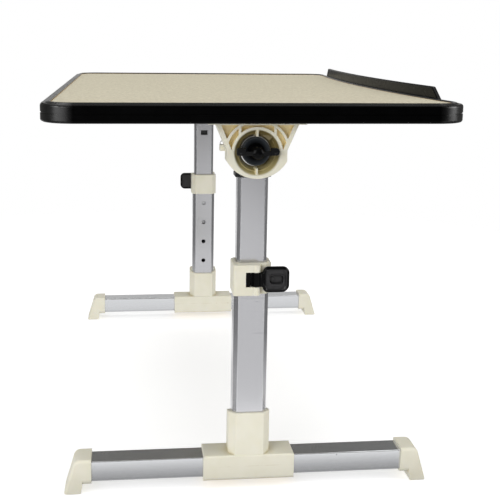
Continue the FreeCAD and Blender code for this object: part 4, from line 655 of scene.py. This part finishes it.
def make_lever(side):
    """Cam lever: ribbed cam and arm, and a paddle with a raised rim and a pill-shaped thumb dent."""
    low, high = leg_box(side, "clamp_lever")
    half = (high.z - low.z) / 2
    centre = Vector((high.x - half, (low.z + high.z) / 2))
    crest, neck = LEVER_CREST, half + 2.8
    outline = rounded_outline([(half, -half, 7.0), (half, half, 6.2), (-half, half, 4.6),
                               (-half, ARM_HALF, 2.6), (-neck, ARM_HALF, 0.4), (-neck, -ARM_HALF, 0.4),
                               (-half, -ARM_HALF, 2.6), (-half, -half, 4.6)], 9)
    rings = 40
    loops = [[(centre.x + point.x * 0.97, crest + 4.2, centre.y + point.y * 0.97) for point in outline],
             [(centre.x + point.x, crest + 3.6, centre.y + point.y) for point in outline]]
    for ring in range(rings):
        share = 1 - (ring / rings) ** 1.15 * 0.985
        loop = []
        for point in outline:
            here = point * share
            gap = min((here - other).length for other in outline)
            depth = paddle_depth(here.x - 0.3, here.y, gap)
            loop.append((centre.x + here.x, crest + depth, centre.y + here.y))
        loops.append(loop)
    shape = bmesh.new()
    skin(shape, loops)
    arm_low, arm_high = centre.y - ARM_HALF, centre.y + ARM_HALF
    pin = Vector(LEVER_PIN)
    cam = Vector((pin.x, pin.y + 0.8))
    profile = []
    for angle in range(100, 305, 4):
        swell = sum(0.55 * ease(1 - abs(angle - rib) / 10) for rib in CAM_RIBS)
        turn = math.radians(angle)
        profile.append(cam + Vector((math.cos(turn), math.sin(turn))) * (CAM_RADIUS + swell))
    profile += [Vector((centre.x - half - 1.0, crest + 0.7)), Vector((centre.x - half + 3.0, crest + 1.2)),
                Vector((centre.x - half + 3.0, crest + 3.6)), Vector((pin.x + 5.5, crest + 4.4))]
    skin(shape, [[(point.x, point.y, z) for point in profile] for z in (arm_low, arm_high)])
    arrow = [(-half - 0.4, 0.0), (-half + 1.0, 0.9), (-half + 1.0, -0.9)]
    skin(shape, [[(centre.x + x, crest + 1.2, centre.y + z) for x, z in arrow],
                 [(centre.x + x * 0.998, crest + 0.1, centre.y + z * 0.5) for x, z in arrow]])
    finish = lever_black(side, leg_frame(side) @ Vector((centre.x, 0, centre.y)), half * MM)
    make_piece(f"{side}_lever_handle", shape, finish, f"{side}_lever",
               [f"{side}_clamp_lever"], leg_frame(side))


def make_slot_filler(side):
    """A black block that fills the rest of the cam's slot, with a rib down it."""
    low, high = leg_box(side, "clamp_lever")
    middle = (low.z + high.z) / 2
    front, back = -18.4, -13.5
    profile = [(-6.65, back), (-6.65, front + 0.5), (-6.2, front), (-4.9, front), (-4.5, front - 0.45),
               (-3.9, front - 0.45), (-3.5, front), (-2.7, front + 0.2), (-2.5, back)]
    shape = bmesh.new()
    skin(shape, [[(x, y, z) for x, y in profile] for z in (middle - 6.9, middle + 6.9)])
    make_piece(f"{side}_slot_liner", shape, HUB_BLACK, f"{side}_base",
               move=leg_frame(side))


def laminate_border():
    """The corners of the laminate's top face, in order round it, and which side of them is inward."""
    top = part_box("top_laminate")[1].z
    mesh = bmesh.new()
    mesh.from_mesh(frame["nodes"]["top_laminate"].data)
    bmesh.ops.remove_doubles(mesh, verts=mesh.verts, dist=1e-6)
    upper = {face for face in mesh.faces if all(vertex.co.z > top - 1e-5 for vertex in face.verts)}
    border = [edge for edge in mesh.edges if sum(face in upper for face in edge.link_faces) == 1]
    chain = {}
    for edge in border:
        first, second = edge.verts
        chain.setdefault(first, []).append(second)
        chain.setdefault(second, []).append(first)
    start = border[0].verts[0]
    loop, before, here = [start.co.copy()], start, chain[start][0]
    while here is not start:
        loop.append(here.co.copy())
        before, here = here, next(vertex for vertex in chain[here] if vertex is not before)
    mesh.free()
    area = sum(first.cross(second).z for first, second in zip(loop, loop[1:] + loop[:1]))
    return loop, math.copysign(1, area)


def make_edging(name, rows, finish):
    """A strip that follows the laminate's edge, from rows of distance inward and height."""
    loop, side = laminate_border()
    count = len(loop)
    loops = []
    for inward, lift in rows:
        row = []
        for step, point in enumerate(loop):
            along = (loop[(step + 1) % count] - loop[step - 1]).normalized()
            row.append(point + Vector((-along.y, along.x, 0)) * side * inward + Vector((0, 0, lift)))
        loops.append(row)
    shape = bmesh.new()
    skin(shape, loops, closed_ends=False)
    make_piece(name, shape, finish, "tabletop")


def glue_brown():
    """Old brown glue that has crept out along the joint."""
    paint = Paint("edge_glue", Roughness=0.45)
    smear = paint.noise(0.004, detail=3.0)
    thick, thin = rgb(0.36, 0.2, 0.06), rgb(0.62, 0.42, 0.17)
    paint.colour(paint.mix(paint.spread(smear, 0.35, 0.65, 0.0, 1.0), thick, thin))
    paint.relief(smear, 0.00005)
    return paint.material


KNOB_SLATE = knob_slate()
# painted shade: the hub's copy of this plastic has a lower shine than the wing's, as the hub sits in shadow
HUB_BLACK = smooth_black("hub_black", 0.1)
WING_BLACK = smooth_black("wing_black", 0.3)
for leg_side in SIDES:
    make_knob(leg_side)
    make_lever(leg_side)
    make_slot_filler(leg_side)
GLUE_ROWS = [(-0.0003, 0.0), (-0.0001, 0.00012), (0.0006, 0.0001), (0.0007, 0.0)]
CROWN_ROWS = [(0.0, -0.0002), (0.0, 0.0006), (-0.0003, 0.0013), (-0.0011, 0.0016), (-0.0024, 0.0014),
              (-0.004, 0.0006), (-0.0052, -0.0004)]
make_edging("glue_line", GLUE_ROWS, glue_brown())
make_edging("moulding_crown", CROWN_ROWS, FINISHES["bumper_black"])


# ---- stage, light and camera ------------------------------------------------------------------

def make_floor():
    """A floor that is plain and pale only to the camera.

    To reflected and bounced rays it is nearly black but glows: dimly all over, brighter in a band under
    the table with lighter and darker strips along X, and in four patches off the table's corners. The
    glow was tuned to tone the tubes and foot bars, and doesn't stand for real lamps.
    """
    mesh = bpy.data.meshes.new("floor")
    shape = bmesh.new()
    bmesh.ops.create_circle(shape, cap_ends=True, radius=3.0, segments=96)
    shape.to_mesh(mesh)
    shape.free()
    floor = bpy.data.objects.new("floor", mesh)
    bpy.context.scene.collection.objects.link(floor)
    paint = Paint("pale_floor", Roughness=0.9, Specular_IOR_Level=0.0)
    seen = paint.add("ShaderNodeLightPath").outputs["Is Camera Ray"]
    pale = paint.mix(paint.noise(0.4), rgb(0.88, 0.88, 0.88), rgb(0.9, 0.9, 0.9))
    paint.colour(paint.mix(seen, rgb(0.02, 0.02, 0.02), pale))
    across = paint.unsigned(paint.axis("X"))
    along = paint.unsigned(paint.axis("Y"))
    foot = paint.times(paint.near(along, 0.285, 0.05), -0.4)
    apron = paint.times(paint.near(along, 0.375, 0.07), 0.95)
    under = paint.times(paint.near(along, 0.13, 0.1), 0.3)
    aisle = paint.plus(paint.spread(along, 0.8, 1.4, 0.54, 0.68),
                      paint.plus(under, paint.plus(foot, apron)))
    glow = paint.times(paint.spread(across, 0.22, 0.42, 1.0, 0.0), aisle)
    patch = paint.times(paint.near(across, 0.55, 0.3), paint.near(along, 0.85, 0.4))
    bounce = paint.plus(paint.plus(glow, 0.16), paint.times(patch, 2.4))
    lift = paint.times(seen, 0.5)
    paint.shader.inputs["Emission Color"].default_value = rgb(1, 1, 1)
    unseen_share = paint.minus(1.0, seen)
    paint.drive("Emission Strength", paint.plus(lift, paint.times(unseen_share, bounce)))
    reach = paint.add("ShaderNodeVectorMath", {0: paint.place}, operation="LENGTH").outputs["Value"]
    fade = paint.spread(reach, 0.45, 1.1, 1.0, 0.0)
    paint.drive("Alpha", paint.combine("MAXIMUM", fade, unseen_share))
    mesh.materials.append(paint.material)


def softbox(name, azimuth, elevation, distance, width, height, radiance):
    """A rectangular light that faces the table; azimuth 0 stands at -Y and 90 at +X."""
    aim = Vector((0, 0, 0.2))
    around, up = math.radians(azimuth), math.radians(elevation)
    back = Vector((math.sin(around) * math.cos(up), -math.cos(around) * math.cos(up), math.sin(up)))
    light = bpy.data.lights.new(name, "AREA")
    light.shape = "RECTANGLE"
    light.size, light.size_y = width, height
    light.energy = radiance * math.pi * width * height
    lamp = bpy.data.objects.new(name, light)
    lamp.location = aim + back * distance
    lamp.rotation_euler = back.to_track_quat("Z", "Y").to_euler()
    lamp.visible_camera = False
    bpy.context.scene.collection.objects.link(lamp)


def make_world():
    """White to the eye, and a dim even fill for everything it lights."""
    world = bpy.data.worlds.new("studio")
    world.use_nodes = True
    nodes, links = world.node_tree.nodes, world.node_tree.links
    fill = nodes["Background"]
    fill.inputs["Color"].default_value = rgb(1.0, 0.99, 0.95)
    fill.inputs["Strength"].default_value = 0.15
    white = nodes.new("ShaderNodeBackground")
    white.inputs["Color"].default_value = rgb(1, 1, 1)
    rays = nodes.new("ShaderNodeLightPath")
    chosen = nodes.new("ShaderNodeMixShader")
    links.new(rays.outputs["Is Camera Ray"], chosen.inputs[0])
    links.new(fill.outputs[0], chosen.inputs[1])
    links.new(white.outputs[0], chosen.inputs[2])
    links.new(chosen.outputs[0], nodes["World Output"].inputs["Surface"])
    bpy.context.scene.world = world


def make_camera():
    """At one end of the table, a little above its top and left of its middle.

    Its place, angles and lens come from a least-squares fit made outside this script.
    """
    camera = bpy.data.objects.new("camera", bpy.data.cameras.new("camera"))
    camera.data.lens = 61.82
    camera.data.sensor_width = 36
    camera.data.shift_x = 0.07
    camera.data.shift_y = -0.12
    camera.data.clip_start = 0.02
    place = Vector((-0.1136, -1.0312, 0.4318))
    turn, dip, roll = math.radians(-5.84), math.radians(10.21), math.radians(0.60)
    camera.matrix_world = (Matrix.Translation(place)
                           @ Matrix.Rotation(turn, 4, "Z")
                           @ Matrix.Rotation(math.radians(90) - dip, 4, "X")
                           @ Matrix.Rotation(roll, 4, "Z"))
    bpy.context.scene.collection.objects.link(camera)
    bpy.context.scene.camera = camera


SOFTBOXES = {   # azimuth and elevation in degrees, distance, width and height in metres, radiance
    "left_key": (-44, 18, 2.4, 2.0, 1.6, 3.4),
    "right_key": (66, 18, 2.4, 1.3, 1.6, 3.6),
    "rear_fill": (175, 62, 2.4, 2.4, 1.0, 1.4),
    "low_rear": (180, 9, 2.6, 3.0, 0.5, 0.7),
    "overhead": (0, 88, 2.4, 2.4, 2.4, 1.8),
}

make_floor()
for box_name, placing in SOFTBOXES.items():
    softbox(box_name, *placing)
make_world()
make_camera()
bpy.context.scene.view_settings.view_transform = "Standard"
